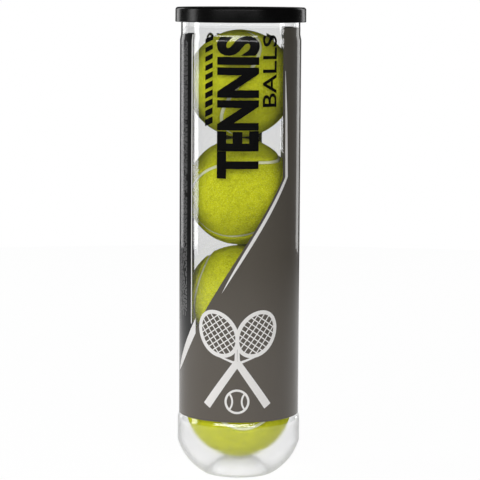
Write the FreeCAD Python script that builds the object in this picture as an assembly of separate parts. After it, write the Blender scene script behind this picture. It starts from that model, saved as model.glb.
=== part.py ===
"""Tennis ball can: a clear blown tube with a printed label film, a seamed metal end with a
full tear-out panel and ring pull, a push-on plastic overcap, and the stacked balls inside.

Units are mm. +Z is up along the can's axis, the origin is the centre of the standing ring.
"""
import FreeCAD, Part
import math
import os

from FreeCAD import Placement, Rotation, Vector

# ---- sizes that drive the model ------------------------------------------------------

BALL_DIAMETER = 66.2        # over the felt
BALL_COUNT = 4
RUNNING_GAP = 0.3           # clear space between pieces that move apart
BALL_SIDE_ROOM = 3.35       # ball to the tube's inner wall
HEADSPACE = 6.05            # top ball to the underside of the metal end

WALL = 0.6                  # blown plastic wall
PUSH_UP_TOP = 8.65          # height of the dome inside the base
PUSH_UP_R = 17.2            # where the dome meets the standing ring
FOOT_R = 22.6               # outer edge of the flat standing ring
BOWL_TOP_Z = 20.0           # where the rounded base meets the upright wall
BULGE_STEP = 0.85           # how far the base stands out beyond the label panel
BULGE_TOP_Z = 34.5
GATE_R = 1.6                # moulding nub under the dome
GATE_LENGTH = 2.4

LABEL_FILM = 0.13
LABEL_GLUE = 0.02
LABEL_LOW_Z = 37.4
LABEL_TOP_DROP = 4.7        # label's upper edge below the metal end

NECK_STEP = 0.65            # how far the neck is drawn in
SHOULDER_DROP = 12.7        # start of the shoulder below the metal end
SHOULDER_HEIGHT = 3.5

SHEET = 0.35                # sheet metal of the end
SEAM_FIT = 0.05             # pressed metal against plastic
SEAM_DEPTH = 5.8            # panel's underside to the seam's top
SEAM_HEIGHT = 3.2
SEAM_WIDTH = 2.8
APERTURE_ROOM = 1.1         # ball to the edge of the opened mouth
BEAD_RISE = 0.3
PANEL_RECESS = 0.7

TAB_HOVER = 0.8             # underside of the tab above the panel
TAB_THICKNESS = 1.2
TAB_RING_R = 9.5
TAB_HOLE_R = 6.6
TAB_NOSE_R = 4.6
NOSE_SETBACK = 1.9          # tab's nose inside the tear panel's edge
NOSE_TO_HINGE = 3.5
HINGE_TO_RIVET = 3.5
RIVET_TO_RING = 11.5
RIVET_HEAD_R = 2.4
RIVET_STEM_R = 1.5
TONGUE_HALF_WIDTH = 2.9
TONGUE_LENGTH = 6.4
TONGUE_THICKNESS = 0.5
TONGUE_SLOT = 0.4

CAP_WALL = 1.1
CAP_SIDE_ROOM = 0.7         # cap's skirt to the seam
CAP_SKIRT = 9.0
CAP_ROOF = 1.2
CAP_RECESS = 0.4
CAP_RIM = 4.0               # raised rim round the roof's recess
CAP_BEAD_Z = 2.6            # snap bead above the skirt's lower edge

CORE_WALL = 3.5             # rubber half shell
FELT = 3.45
GLUE_LINE = 0.05
SEAM_STRIP_WIDTH = 2.4
SEAM_STRIP_SUNK = 0.7       # the seam lies below the felt's surface
SEAM_SHAPE = 0.75           # how far the seam line swings from the equator, 0.5 to 1
SEAM_POINTS = 40
FELT_POLE = Vector(1, 0.3, 0.2)     # the shell's poles keep clear of the seam line

# yaw, pitch and roll of each ball, from the bottom one up, in degrees
BALL_TURNS = [(148.8, 21.8, -142.3), (-57.8, 11.4, -164.3), (92.8, -52.2, 73.8), (-2.2, 37.7, -4.5)]

# ---- sizes that follow ---------------------------------------------------------------

ball_r = BALL_DIAMETER / 2
ball_pitch = BALL_DIAMETER + RUNNING_GAP
first_ball_z = PUSH_UP_TOP + RUNNING_GAP + ball_r
top_of_balls = first_ball_z + (BALL_COUNT - 1) * ball_pitch + ball_r
end_z = top_of_balls + HEADSPACE

panel_wall_r = ball_r + BALL_SIDE_ROOM + WALL
bulge_r = panel_wall_r + BULGE_STEP
neck_r = panel_wall_r - NECK_STEP
shoulder_z = end_z - SHOULDER_DROP
neck_z = shoulder_z + SHOULDER_HEIGHT

seam_top = end_z + SEAM_DEPTH
seam_low = seam_top - SEAM_HEIGHT
chuck_outer_r = neck_r - WALL - SEAM_FIT
chuck_inner_r = chuck_outer_r - SHEET
seam_r = chuck_inner_r + SEAM_WIDTH
aperture_r = ball_r + APERTURE_ROOM
flange_r = seam_r - SHEET - 0.25
flange_top = seam_top - SHEET - 0.65

cap_roof_low = seam_top + RUNNING_GAP
cap_top = cap_roof_low + CAP_ROOF
cap_low = cap_top - CAP_SKIRT
cap_inner_r = seam_r + CAP_SIDE_ROOM
cap_r = cap_inner_r + CAP_WALL

core_r = ball_r - FELT
panel_edge_r = aperture_r - RUNNING_GAP
tab_low = end_z + SHEET + TAB_HOVER
tab_nose_x = panel_edge_r - NOSE_SETBACK
tab_hinge_x = tab_nose_x - NOSE_TO_HINGE
rivet_x = tab_hinge_x - HINGE_TO_RIVET
tab_ring_x = rivet_x - RIVET_TO_RING
cap_recess_r = cap_r - CAP_RIM


# ---- helpers -------------------------------------------------------------------------

def at(radius, height):
    """A point of a half section, at a radius from the axis and a height."""
    return Vector(radius, 0, height)


def path(*parts):
    """Join straight runs and three-point arcs into one open outline.

    Each part is a list of (radius, height) pairs: two pairs make a line, three an arc.
    """
    edges = []
    for part in parts:
        points = [at(*pair) for pair in part]
        if len(points) == 3:
            edges.append(Part.Arc(*points).toShape())
        else:
            edges.append(Part.makeLine(*points))
    return Part.Wire(edges)


def turned_sheet(outline, thickness):
    """Thicken an open outline to one side and turn it round the axis."""
    section = outline.makeOffset2D(thickness, 0, True, True, False)
    return as_solid(section.revolve(Vector(0, 0, 0), Vector(0, 0, 1), 360))


def turned(*pairs):
    """Turn a closed straight-sided section round the axis."""
    points = [at(*pair) for pair in pairs]
    section = Part.Face(Part.makePolygon(points + points[:1]))
    return as_solid(section.revolve(Vector(0, 0, 0), Vector(0, 0, 1), 360))


def as_solid(shape):
    """The one solid in a shape, with its faces pointing outward."""
    solid = shape.Solids[0] if shape.Solids else Part.Solid(shape.Shells[0])
    if solid.Volume < 0:
        solid.reverse()
    return solid


def disc(radius, low, high, x=0.0):
    """An upright round plug."""
    return Part.makeCylinder(radius, high - low, Vector(x, 0, low))


def circle_edges(solid, radius, height):
    """The round edges of a solid at one radius and height."""
    found = []
    for edge in solid.Edges:
        curve = edge.Curve
        if isinstance(curve, Part.Circle) and abs(curve.Radius - radius) < 0.01:
            if abs(curve.Center.z - height) < 0.01:
                found.append(edge)
    return found


# ---- the can -------------------------------------------------------------------------

def make_can_body():
    """Blown tube: push-up base, standing ring, rounded base, label panel, neck and flange."""
    dome_low = PUSH_UP_TOP - WALL
    under = flange_top - WALL
    curl = 0.75 * (flange_r - neck_r)
    outline = path(
        [(0, dome_low), (6, dome_low)],
        [(6, dome_low), (13, dome_low - 2.4), (PUSH_UP_R, 0)],
        [(PUSH_UP_R, 0), (FOOT_R, 0)],
        [(FOOT_R, 0), ((FOOT_R + bulge_r) / 2 + 1.4, 8.0), (bulge_r, BOWL_TOP_Z)],
        [(bulge_r, BOWL_TOP_Z), (bulge_r, BULGE_TOP_Z)],
        [(bulge_r, BULGE_TOP_Z), (panel_wall_r, LABEL_LOW_Z - 0.5)],
        [(panel_wall_r, LABEL_LOW_Z - 0.5), (panel_wall_r, shoulder_z)],
        [(panel_wall_r, shoulder_z), (neck_r, neck_z)],
        [(neck_r, neck_z), (neck_r, under - curl)],
        [(neck_r, under - curl), (neck_r + 0.29 * curl, under - 0.29 * curl), (neck_r + curl, under)],
        [(neck_r + curl, under), (flange_r, under)],
    )
    tube = turned_sheet(outline, WALL)
    gate = disc(GATE_R, dome_low - GATE_LENGTH, dome_low + WALL / 2)
    return as_solid(tube.fuse(gate).removeSplitter())


def make_label_sleeve():
    """Printed film wrapped on the label panel and over the shoulder."""
    gap = LABEL_GLUE
    outline = path(
        [(panel_wall_r + gap, LABEL_LOW_Z), (panel_wall_r + gap, shoulder_z)],
        [(panel_wall_r + gap, shoulder_z), (neck_r + gap, neck_z)],
        [(neck_r + gap, neck_z), (neck_r + gap, end_z - LABEL_TOP_DROP)],
    )
    return turned_sheet(outline, -LABEL_FILM)


def make_end_ring():
    """Metal ring rolled round the flange: seam, chuck wall, countersink and mouth edge."""
    under = seam_low + SHEET
    hook_r = neck_r + 0.35
    ring = turned(
        (hook_r, seam_low), (seam_r, seam_low), (seam_r, seam_top), (chuck_inner_r, seam_top),
        (chuck_inner_r, end_z + 0.05), (chuck_inner_r - 0.4, end_z + 0.05),
        (chuck_inner_r - 0.55, end_z + SHEET), (aperture_r, end_z + SHEET), (aperture_r, end_z),
        (chuck_inner_r - 0.8, end_z), (chuck_inner_r - 0.65, end_z - 0.3), (chuck_outer_r, end_z - 0.3),
        (chuck_outer_r, seam_top - SHEET), (seam_r - SHEET, seam_top - SHEET),
        (seam_r - SHEET, under), (hook_r, under),
    )
    rims = circle_edges(ring, seam_r, seam_top) + circle_edges(ring, chuck_inner_r, seam_top)
    rims = rims + circle_edges(ring, seam_r, seam_low)
    return as_solid(ring.makeFillet(0.3, rims))


def make_seam_compound():
    """Soft sealing ring squeezed between the flange and the rolled seam."""
    low = flange_top + SEAM_FIT
    high = seam_top - SHEET - SEAM_FIT
    inner = chuck_outer_r + 2 * SEAM_FIT
    outer = seam_r - SHEET - 2 * SEAM_FIT
    return turned((inner, low), (outer, low), (outer, high), (inner, high))


def make_tear_panel():
    """Scored disc that tears out of the end, with its stiffening beads and formed rivet."""
    edge = panel_edge_r
    high = end_z + BEAD_RISE
    low = end_z - PANEL_RECESS
    outline = path(
        [(0, low), (edge - 14.9, low)],
        [(edge - 14.9, low), (edge - 13.5, end_z)],
        [(edge - 13.5, end_z), (edge - 5.3, end_z)],
        [(edge - 5.3, end_z), (edge - 4.4, high)],
        [(edge - 4.4, high), (edge - 3.5, high)],
        [(edge - 3.5, high), (edge - 2.6, end_z)],
        [(edge - 2.6, end_z), (edge, end_z)],
    )
    panel = turned_sheet(outline, SHEET)
    head_low = tab_low + TONGUE_THICKNESS + SEAM_FIT
    stem = disc(RIVET_STEM_R, end_z + SHEET / 2, head_low + 0.3, rivet_x)
    head = disc(RIVET_HEAD_R, head_low, head_low + 0.8, rivet_x)
    head = head.makeFillet(0.35, circle_edges(head, RIVET_HEAD_R, head_low + 0.8))
    return as_solid(panel.fuse([stem, head]).removeSplitter())


def make_tab_tongue():
    """Flat tongue of the tab that the rivet holds down on the panel."""
    width = 2 * TONGUE_HALF_WIDTH
    half = TONGUE_THICKNESS / 2
    corner = Vector(tab_hinge_x - TONGUE_LENGTH, -TONGUE_HALF_WIDTH, tab_low)
    plate = Part.makeBox(TONGUE_LENGTH, width, TONGUE_THICKNESS, corner)
    bend_start = Vector(tab_hinge_x, -TONGUE_HALF_WIDTH, tab_low + half)
    bend = Part.makeCylinder(half, width, bend_start, Vector(0, 1, 0))
    spacer = disc(RIVET_STEM_R + 1.0, end_z + SHEET + SEAM_FIT, tab_low + 0.1, rivet_x)
    hole = disc(RIVET_STEM_R + SEAM_FIT, end_z, tab_low + 2, rivet_x)
    return as_solid(plate.fuse([bend, spacer]).cut(hole).removeSplitter())


def make_pull_tab():
    """Ring pull with a curled rim, a finger hole and a window round the riveted tongue."""
    high = tab_low + TAB_THICKNESS
    ring = disc(TAB_RING_R, tab_low, high, tab_ring_x)
    nose = disc(TAB_NOSE_R, tab_low, high, tab_nose_x - TAB_NOSE_R)
    side_z = tab_low
    angle = math.acos((TAB_RING_R - TAB_NOSE_R) / (tab_nose_x - TAB_NOSE_R - tab_ring_x))
    corners = []
    for centre, radius, side in ((tab_ring_x, TAB_RING_R, 1), (tab_nose_x - TAB_NOSE_R, TAB_NOSE_R, 1),
                                 (tab_nose_x - TAB_NOSE_R, TAB_NOSE_R, -1), (tab_ring_x, TAB_RING_R, -1)):
        x = centre + radius * math.cos(angle)
        corners.append(Vector(x, side * radius * math.sin(angle), side_z))
    waist = Part.Face(Part.makePolygon(corners + corners[:1])).extrude(Vector(0, 0, TAB_THICKNESS))
    blank = ring.fuse([nose, waist]).removeSplitter()
    rim = [edge for edge in blank.Edges if edge.BoundBox.ZLength < 0.01]
    blank = blank.makeFillet(0.4, rim)
    finger = disc(TAB_HOLE_R, tab_low - 1, high + 1, tab_ring_x)
    slot = TONGUE_SLOT
    front = tab_hinge_x + TONGUE_THICKNESS / 2 + RUNNING_GAP
    back = tab_hinge_x - TONGUE_LENGTH - slot
    half = TONGUE_HALF_WIDTH + slot
    window = Part.makeBox(front - back, 2 * half, TAB_THICKNESS + 2, Vector(back, -half, tab_low - 1))
    tab = as_solid(blank.cut([finger, window]))
    hole_rims = circle_edges(tab, TAB_HOLE_R, high) + circle_edges(tab, TAB_HOLE_R, tab_low)
    return as_solid(tab.makeFillet(0.4, hole_rims))


def make_overcap():
    """Push-on lid: skirt, snap bead under the seam, and a roof with a shallow stacking recess."""
    bead = cap_low + CAP_BEAD_Z
    bead_r = seam_r + RUNNING_GAP
    cap = turned(
        (0, cap_roof_low), (cap_inner_r, cap_roof_low), (cap_inner_r, bead + 0.9), (bead_r, bead + 0.4),
        (bead_r, bead - 0.2), (cap_inner_r, bead - 0.9), (cap_inner_r, cap_low), (cap_r, cap_low),
        (cap_r, cap_top), (cap_recess_r, cap_top), (cap_recess_r - 0.5, cap_top - CAP_RECESS),
        (0, cap_top - CAP_RECESS),
    )
    cap = cap.makeFillet(0.9, circle_edges(cap, cap_r, cap_top))
    return as_solid(cap.makeFillet(0.3, circle_edges(cap, cap_r, cap_low)))


# ---- one ball, centred on the origin -------------------------------------------------

def make_core_half(side):
    """Moulded rubber half shell; side is 1 for the upper half and -1 for the lower."""
    ball = Part.makeSphere(core_r - GLUE_LINE)
    hollow = Part.makeSphere(core_r - GLUE_LINE - CORE_WALL)
    low = GLUE_LINE / 2 if side > 0 else -ball_r
    block = Part.makeBox(2 * ball_r, 2 * ball_r, ball_r - GLUE_LINE / 2, Vector(-ball_r, -ball_r, low))
    return as_solid(ball.cut(hollow).common(block))


def seam_direction(turn):
    """Unit vector to the seam's middle line at a turn of 0 to 360 degrees."""
    a = SEAM_SHAPE
    b = 1 - SEAM_SHAPE
    x = a * math.cos(turn) + b * math.cos(3 * turn)
    y = a * math.sin(turn) - b * math.sin(3 * turn)
    z = 2 * math.sqrt(a * b) * math.sin(2 * turn)
    return Vector(x, y, z).normalize()


def seam_rail(offset, radius):
    """Closed line that follows the seam at a radius, offset sideways from its middle."""
    lean = offset / ball_r
    points = []
    for step in range(SEAM_POINTS):
        turn = 2 * math.pi * step / SEAM_POINTS
        here = seam_direction(turn)
        ahead = seam_direction(turn + 0.001) - seam_direction(turn - 0.001)
        side = here.cross(ahead).normalize()
        points.append((here * math.cos(lean) + side * math.sin(lean)) * radius)
    curve = Part.BSplineCurve()
    curve.interpolate(points, PeriodicFlag=True)
    return curve.toShape()


def seam_band(half_width, inner, outer):
    """Closed band that follows the seam, between two radii."""
    deep_left = seam_rail(half_width, inner)
    deep_right = seam_rail(-half_width, inner)
    high_left = seam_rail(half_width, outer)
    high_right = seam_rail(-half_width, outer)
    faces = [
        Part.makeRuledSurface(deep_left, high_left),
        Part.makeRuledSurface(deep_right, high_right),
        Part.makeRuledSurface(deep_left, deep_right),
        Part.makeRuledSurface(high_left, high_right),
    ]
    skin = Part.makeShell(faces)
    skin.sewShape()
    return as_solid(Part.Solid(skin))


def make_felt_shell():
    """Thick felt shell as two half shells joined, so that no face closes on itself."""
    centre = Vector(0, 0, 0)
    outside = Part.makeSphere(ball_r, centre, FELT_POLE, -90, 90, 180)
    inside = Part.makeSphere(core_r, centre, FELT_POLE, -90, 90, 180)
    half = outside.cut(inside)
    other = half.copy()
    other.rotate(centre, FELT_POLE, 180)
    return half.fuse(other)


def make_felt_panels():
    """The two dumbbell panels: the felt shell cut apart along the seam's groove."""
    groove = seam_band(SEAM_STRIP_WIDTH / 2, core_r - 1.0, ball_r + 1.0)
    return [as_solid(piece) for piece in make_felt_shell().cut(groove).Solids]


def make_ball_pieces():
    """The pieces of one ball: two core halves, two felt panels and the seam strip."""
    felt_a, felt_b = make_felt_panels()
    bed_r = core_r + 2 * GLUE_LINE
    strip = seam_band(SEAM_STRIP_WIDTH / 2 - GLUE_LINE, bed_r, ball_r - SEAM_STRIP_SUNK)
    return {
        "core_lower": make_core_half(-1),
        "core_upper": make_core_half(1),
        "felt_a": felt_a,
        "felt_b": felt_b,
        "seam": strip,
    }


# ---- build every node ----------------------------------------------------------------

def build():
    """All nodes by name, each one closed solid in its place."""
    nodes = {
        "can_body": make_can_body(),
        "label_sleeve": make_label_sleeve(),
        "end_ring": make_end_ring(),
        "seam_compound": make_seam_compound(),
        "tear_panel": make_tear_panel(),
        "tab_tongue": make_tab_tongue(),
        "pull_tab": make_pull_tab(),
        "overcap": make_overcap(),
    }
    pieces = make_ball_pieces()
    for index in range(BALL_COUNT):
        centre = Vector(0, 0, first_ball_z + index * ball_pitch)
        place = Placement(centre, Rotation(*BALL_TURNS[index % len(BALL_TURNS)]))
        for name, piece in pieces.items():
            copy = piece.copy()
            copy.Placement = place.multiply(copy.Placement)
            nodes["ball_%d_%s" % (index + 1, name)] = copy
    return nodes


os.makedirs("parts", exist_ok=True)
for node, solid in build().items():
    solid.exportStep("parts/" + node + ".step")
    box = solid.BoundBox
    print("%-20s %-9s solids %d valid %s volume %9.1f  x %.2f..%.2f  z %.2f..%.2f" % (
        node, solid.ShapeType, len(solid.Solids), solid.isValid(), solid.Volume,
        box.XMin, box.XMax, box.ZMin, box.ZMax))
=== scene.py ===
"""Looks of a four-ball tennis can: clear tube, printed film, metal end, black lid and felt balls.

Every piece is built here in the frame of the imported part: +Z up the can's axis, -Y the front
of the label. Sizes in the classes are in millimetres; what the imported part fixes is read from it.
"""
import logging
import math
import random
from collections.abc import Callable, Sequence
from dataclasses import dataclass, field
from enum import Enum

import bmesh
import bpy
import numpy as np
from mathutils import Euler, Matrix, Vector, noise
from mathutils.geometry import tessellate_polygon


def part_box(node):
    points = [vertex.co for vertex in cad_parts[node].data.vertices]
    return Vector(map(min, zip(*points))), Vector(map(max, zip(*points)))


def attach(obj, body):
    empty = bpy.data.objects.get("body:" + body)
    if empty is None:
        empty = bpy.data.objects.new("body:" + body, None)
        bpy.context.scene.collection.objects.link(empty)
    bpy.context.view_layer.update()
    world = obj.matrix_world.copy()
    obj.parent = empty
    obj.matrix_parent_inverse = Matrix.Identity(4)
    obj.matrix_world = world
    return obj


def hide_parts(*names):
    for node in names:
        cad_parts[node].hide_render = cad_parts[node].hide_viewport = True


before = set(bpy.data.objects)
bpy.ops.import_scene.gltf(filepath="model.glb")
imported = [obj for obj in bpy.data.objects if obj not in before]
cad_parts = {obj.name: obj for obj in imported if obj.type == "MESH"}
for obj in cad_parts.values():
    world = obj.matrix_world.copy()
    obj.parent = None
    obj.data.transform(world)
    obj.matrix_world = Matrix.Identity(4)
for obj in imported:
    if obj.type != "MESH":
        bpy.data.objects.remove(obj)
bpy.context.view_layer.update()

log = logging.getLogger("tennis_can")

Pair = tuple[float, float]
Triple = tuple[float, float, float]
Loop = list[Pair]
Colour = tuple[float, float, float]
Socket = bpy.types.NodeSocket

MM = 0.001
FULL_TURN = 2 * math.pi
ON_AXIS = 1e-6
SAME_POINT = 1e-4
MIX_FACTOR = 0
MIX_LOW = 6
MIX_HIGH = 7
MIX_RESULT = 2


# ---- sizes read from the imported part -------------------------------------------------


class Edge(Enum):
    """Sides of a node's box that a size is read from."""

    LOW = "underside"
    TOP = "top"
    SIDE = "reach along X"


def size_of(node: str, edge: Edge) -> float:
    """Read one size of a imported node.

    Args:
        node: the node's name.
        edge: the side of its box.

    Returns:
        Height of the underside or of the top, or the reach along X, in millimetres.
    """
    low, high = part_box(node)
    sides = {Edge.LOW: low.z, Edge.TOP: high.z, Edge.SIDE: high.x}
    return sides[edge] / MM


def from_frame(node: str, edge: Edge) -> float:
    """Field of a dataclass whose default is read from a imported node."""
    return field(default_factory=lambda: size_of(node, edge))


# ---- outlines ------------------------------------------------------------------------


def on_circle(middle: Pair, radius: float, angle: float) -> Pair:
    """Point of a circle at an angle."""
    return (middle[0] + radius * math.cos(angle), middle[1] + radius * math.sin(angle))


def circle(radius: float, steps: int = 48, middle: Pair = (0.0, 0.0)) -> Loop:
    """Points round a circle."""
    return [on_circle(middle, radius, FULL_TURN * i / steps) for i in range(steps)]


def rectangle(left: float, right: float, low: float, high: float) -> Loop:
    """Corners of an upright rectangle."""
    return [(left, low), (right, low), (right, high), (left, high)]


def arc(start: Pair, middle: Pair, end: Pair, steps: int = 12) -> Loop:
    """Points along the arc through three points.

    Args:
        start: first point, as (radius, height).
        middle: a point on the way.
        end: last point.
        steps: number of runs the arc is cut into.

    Returns:
        The points from start to end.
    """
    (ax, ay), (bx, by), (cx, cy) = start, middle, end
    scale = 2 * (ax * (by - cy) + bx * (cy - ay) + cx * (ay - by))
    a2, b2, c2 = ax * ax + ay * ay, bx * bx + by * by, cx * cx + cy * cy
    ux = (a2 * (by - cy) + b2 * (cy - ay) + c2 * (ay - by)) / scale
    uy = (a2 * (cx - bx) + b2 * (ax - cx) + c2 * (bx - ax)) / scale
    radius = math.hypot(ax - ux, ay - uy)
    first, through, last = (math.atan2(y - uy, x - ux) for x, y in (start, middle, end))
    swing = (last - first) % FULL_TURN
    if (through - first) % FULL_TURN > swing:
        swing -= FULL_TURN
    return [on_circle((ux, uy), radius, first + swing * i / steps) for i in range(steps + 1)]


def run(start: Pair, end: Pair, steps: int = 1) -> Loop:
    """Points along a straight run, both ends included."""
    shares = [i / steps for i in range(steps + 1)]
    return [(start[0] + (end[0] - start[0]) * t, start[1] + (end[1] - start[1]) * t) for t in shares]


def chain(*parts: Sequence[Pair]) -> Loop:
    """Join point lists end to end and drop doubled points.

    Args:
        *parts: the lists, in order.

    Returns:
        One list of points.
    """
    points: Loop = []
    for part in parts:
        for point in part:
            if not points or math.dist(point, points[-1]) > SAME_POINT:
                points.append(point)
    return points


def divided(outline: Sequence[Pair], longest: float) -> Loop:
    """Cut the long runs of an open outline.

    Args:
        outline: the points in order.
        longest: length above which a run is cut.

    Returns:
        The outline with the added points.
    """
    runs = [run(a, b, max(1, int(math.dist(a, b) / longest))) for a, b in zip(outline, outline[1:])]
    return chain(*runs)


def rounded(corners: Sequence[Pair], radius: float, steps: int = 4, closed: bool = True) -> Loop:
    """Round the corners of an outline.

    Args:
        corners: the outline's corners in order.
        radius: largest corner radius; short sides get less.
        steps: runs per corner.
        closed: whether the last corner joins the first.

    Returns:
        The rounded outline.
    """
    largest_share = 0.45
    points: Loop = []
    count = len(corners)
    for i, corner in enumerate(corners):
        if not closed and i in (0, count - 1):
            points.append(corner)
            continue
        before, after = Vector(corners[i - 1]), Vector(corners[(i + 1) % count])
        here = Vector(corner)
        into, out = here - before, after - here
        reach = min(radius, into.length * largest_share, out.length * largest_share)
        start, end = here - into.normalized() * reach, here + out.normalized() * reach
        for step in range(steps + 1):
            t = step / steps
            spot = start * (1 - t) ** 2 + here * 2 * t * (1 - t) + end * t**2
            points.append((spot.x, spot.y))
    return points


def thicken(outline: Sequence[Pair], wall: float) -> Loop:
    """Closed section of a wall whose outer face follows an open outline.

    Args:
        outline: the outer face, walked with the material on its left.
        wall: thickness of the wall.

    Returns:
        The outer face followed by the inner face walked back.
    """
    sharpest = 0.5
    inner: Loop = []
    count = len(outline)
    for i, (x, y) in enumerate(outline):
        normals = []
        for a, b in ((i - 1, i), (i, i + 1)):
            if a >= 0 and b < count:
                dx, dy = outline[b][0] - outline[a][0], outline[b][1] - outline[a][1]
                length = math.hypot(dx, dy)
                normals.append((-dy / length, dx / length))
        nx, ny = sum(n[0] for n in normals), sum(n[1] for n in normals)
        size = math.hypot(nx, ny)
        nx, ny = nx / size, ny / size
        mitre = wall / max(sharpest, nx * normals[0][0] + ny * normals[0][1])
        inner.append((max(0.0, x + nx * mitre), y + ny * mitre))
    return list(outline) + inner[::-1]


def flat_vectors(loops: Sequence[Sequence[Pair]]) -> list[list[Vector]]:
    """Loops of points as flat vectors, for cutting into triangles."""
    return [[Vector((x, y, 0)) for x, y in loop] for loop in loops]


# ---- meshes --------------------------------------------------------------------------


@dataclass
class Piece:
    """One visible piece: what it is called, what it rides on and which nodes it stands for."""

    name: str
    body: str
    slot: str
    nodes: tuple[str, ...]

    def place(self, bm: bmesh.types.BMesh, material: bpy.types.Material, smooth: bool = True) -> None:
        """Make the piece's object, dress it, tie it to its body and hide the nodes it stands for.

        Args:
            bm: the piece's mesh in its place, in millimetres; it is freed.
            material: its finish.
            smooth: whether its faces are shaded smooth.
        """
        obj = to_object(self.name, bm, smooth)
        obj.data.materials.append(material)
        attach(obj, self.body)
        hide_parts(*self.nodes)
        log.info("%s rides on %s: %d faces", self.name, self.body, len(obj.data.polygons))


def to_object(name: str, bm: bmesh.types.BMesh, smooth: bool = True) -> bpy.types.Object:
    """Turn an edited mesh into an object in the scene.

    Args:
        name: object's name.
        bm: the mesh, in millimetres; it is freed.
        smooth: whether faces are shaded smooth.

    Returns:
        The new object, scaled to metres.
    """
    mesh = bpy.data.meshes.new(name)
    bmesh.ops.scale(bm, vec=(MM, MM, MM), verts=bm.verts)
    bm.to_mesh(mesh)
    bm.free()
    mesh.polygons.foreach_set("use_smooth", [smooth] * len(mesh.polygons))
    obj = bpy.data.objects.new(name, mesh)
    bpy.context.scene.collection.objects.link(obj)
    return obj


def turn(section: Sequence[Pair], segments: int, closed: bool = True) -> bmesh.types.BMesh:
    """Turn a section round the Z axis.

    Args:
        section: (radius, height) points in order.
        segments: steps round the axis.
        closed: whether the section's last point joins its first.

    Returns:
        The turned mesh, in millimetres.
    """
    bm = bmesh.new()
    rings: list[list[bmesh.types.BMVert]] = []
    for radius, height in section:
        if radius < ON_AXIS:
            rings.append([bm.verts.new((0, 0, height))])
        else:
            rings.append([bm.verts.new((x, y, height)) for x, y in circle(radius, segments)])
    pairs = list(zip(rings, rings[1:]))
    if closed:
        pairs.append((rings[-1], rings[0]))
    for low, high in pairs:
        if len(low) == 1 and len(high) == 1:
            continue
        for s in range(segments):
            n = (s + 1) % segments
            if len(low) == 1:
                bm.faces.new((low[0], high[n], high[s]))
            elif len(high) == 1:
                bm.faces.new((low[s], low[n], high[0]))
            else:
                bm.faces.new((low[s], low[n], high[n], high[s]))
    bmesh.ops.recalc_face_normals(bm, faces=bm.faces)
    return bm


def skin_rings(bm: bmesh.types.BMesh, rings: Sequence[Sequence[bmesh.types.BMVert]]) -> None:
    """Join equal rings of points into a closed band that bites its own tail.

    Args:
        bm: the mesh that holds the points.
        rings: the rings in order.
    """
    for i, here in enumerate(rings):
        there = rings[(i + 1) % len(rings)]
        for k in range(len(here)):
            n = (k + 1) % len(here)
            bm.faces.new((here[k], here[n], there[n], there[k]))
    bmesh.ops.recalc_face_normals(bm, faces=bm.faces)


def sweep(path: Sequence[Pair], height: float, radius: float, sides: int = 12) -> bmesh.types.BMesh:
    """Round bar swept along a closed path that lies flat.

    Args:
        path: points of the bar's middle line, in order.
        height: height of that line.
        radius: the bar's radius.
        sides: faces round the bar.

    Returns:
        The bar as a closed ring, in millimetres.
    """
    bm = bmesh.new()
    spots = [Vector((x, y, height)) for x, y in path]
    section = circle(radius, sides)
    rings = []
    for i, spot in enumerate(spots):
        ahead = (spots[(i + 1) % len(spots)] - spots[i - 1]).normalized()
        side = ahead.cross(Vector((0, 0, 1))).normalized()
        rings.append([bm.verts.new(spot + side * out + Vector((0, 0, up))) for out, up in section])
    skin_rings(bm, rings)
    return bm


def add_to(bm: bmesh.types.BMesh, other: bmesh.types.BMesh, shift: Triple = (0.0, 0.0, 0.0)) -> None:
    """Put a copy of another mesh into this one.

    Args:
        bm: the mesh that grows.
        other: the mesh that is copied and freed.
        shift: how far the copy is moved.
    """
    mesh = bpy.data.meshes.new("joining")
    bmesh.ops.translate(other, vec=shift, verts=other.verts)
    other.to_mesh(mesh)
    other.free()
    bm.from_mesh(mesh)
    bpy.data.meshes.remove(mesh)


def plate(
    outline: Sequence[Pair], holes: Sequence[Sequence[Pair]], low: float, high: float
) -> bmesh.types.BMesh:
    """Flat plate with holes.

    Args:
        outline: the plate's edge, as (x, y) points.
        holes: edges of the holes, walked the other way round.
        low: height of its underside.
        high: height of its top.

    Returns:
        The closed plate, in millimetres.
    """
    loops = [outline, *holes]
    bm = bmesh.new()
    tops = [bm.verts.new((x, y, high)) for loop in loops for x, y in loop]
    bottoms = [bm.verts.new((x, y, low)) for loop in loops for x, y in loop]
    for a, b, c in tessellate_polygon(flat_vectors(loops)):
        bm.faces.new((tops[a], tops[b], tops[c]))
        bm.faces.new((bottoms[c], bottoms[b], bottoms[a]))
    first = 0
    for loop in loops:
        size = len(loop)
        for i in range(size):
            a, b = first + i, first + (i + 1) % size
            bm.faces.new((tops[a], tops[b], bottoms[b], bottoms[a]))
        first += size
    bmesh.ops.recalc_face_normals(bm, faces=bm.faces)
    return bm


# ---- node graphs and shared effects --------------------------------------------------


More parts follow.
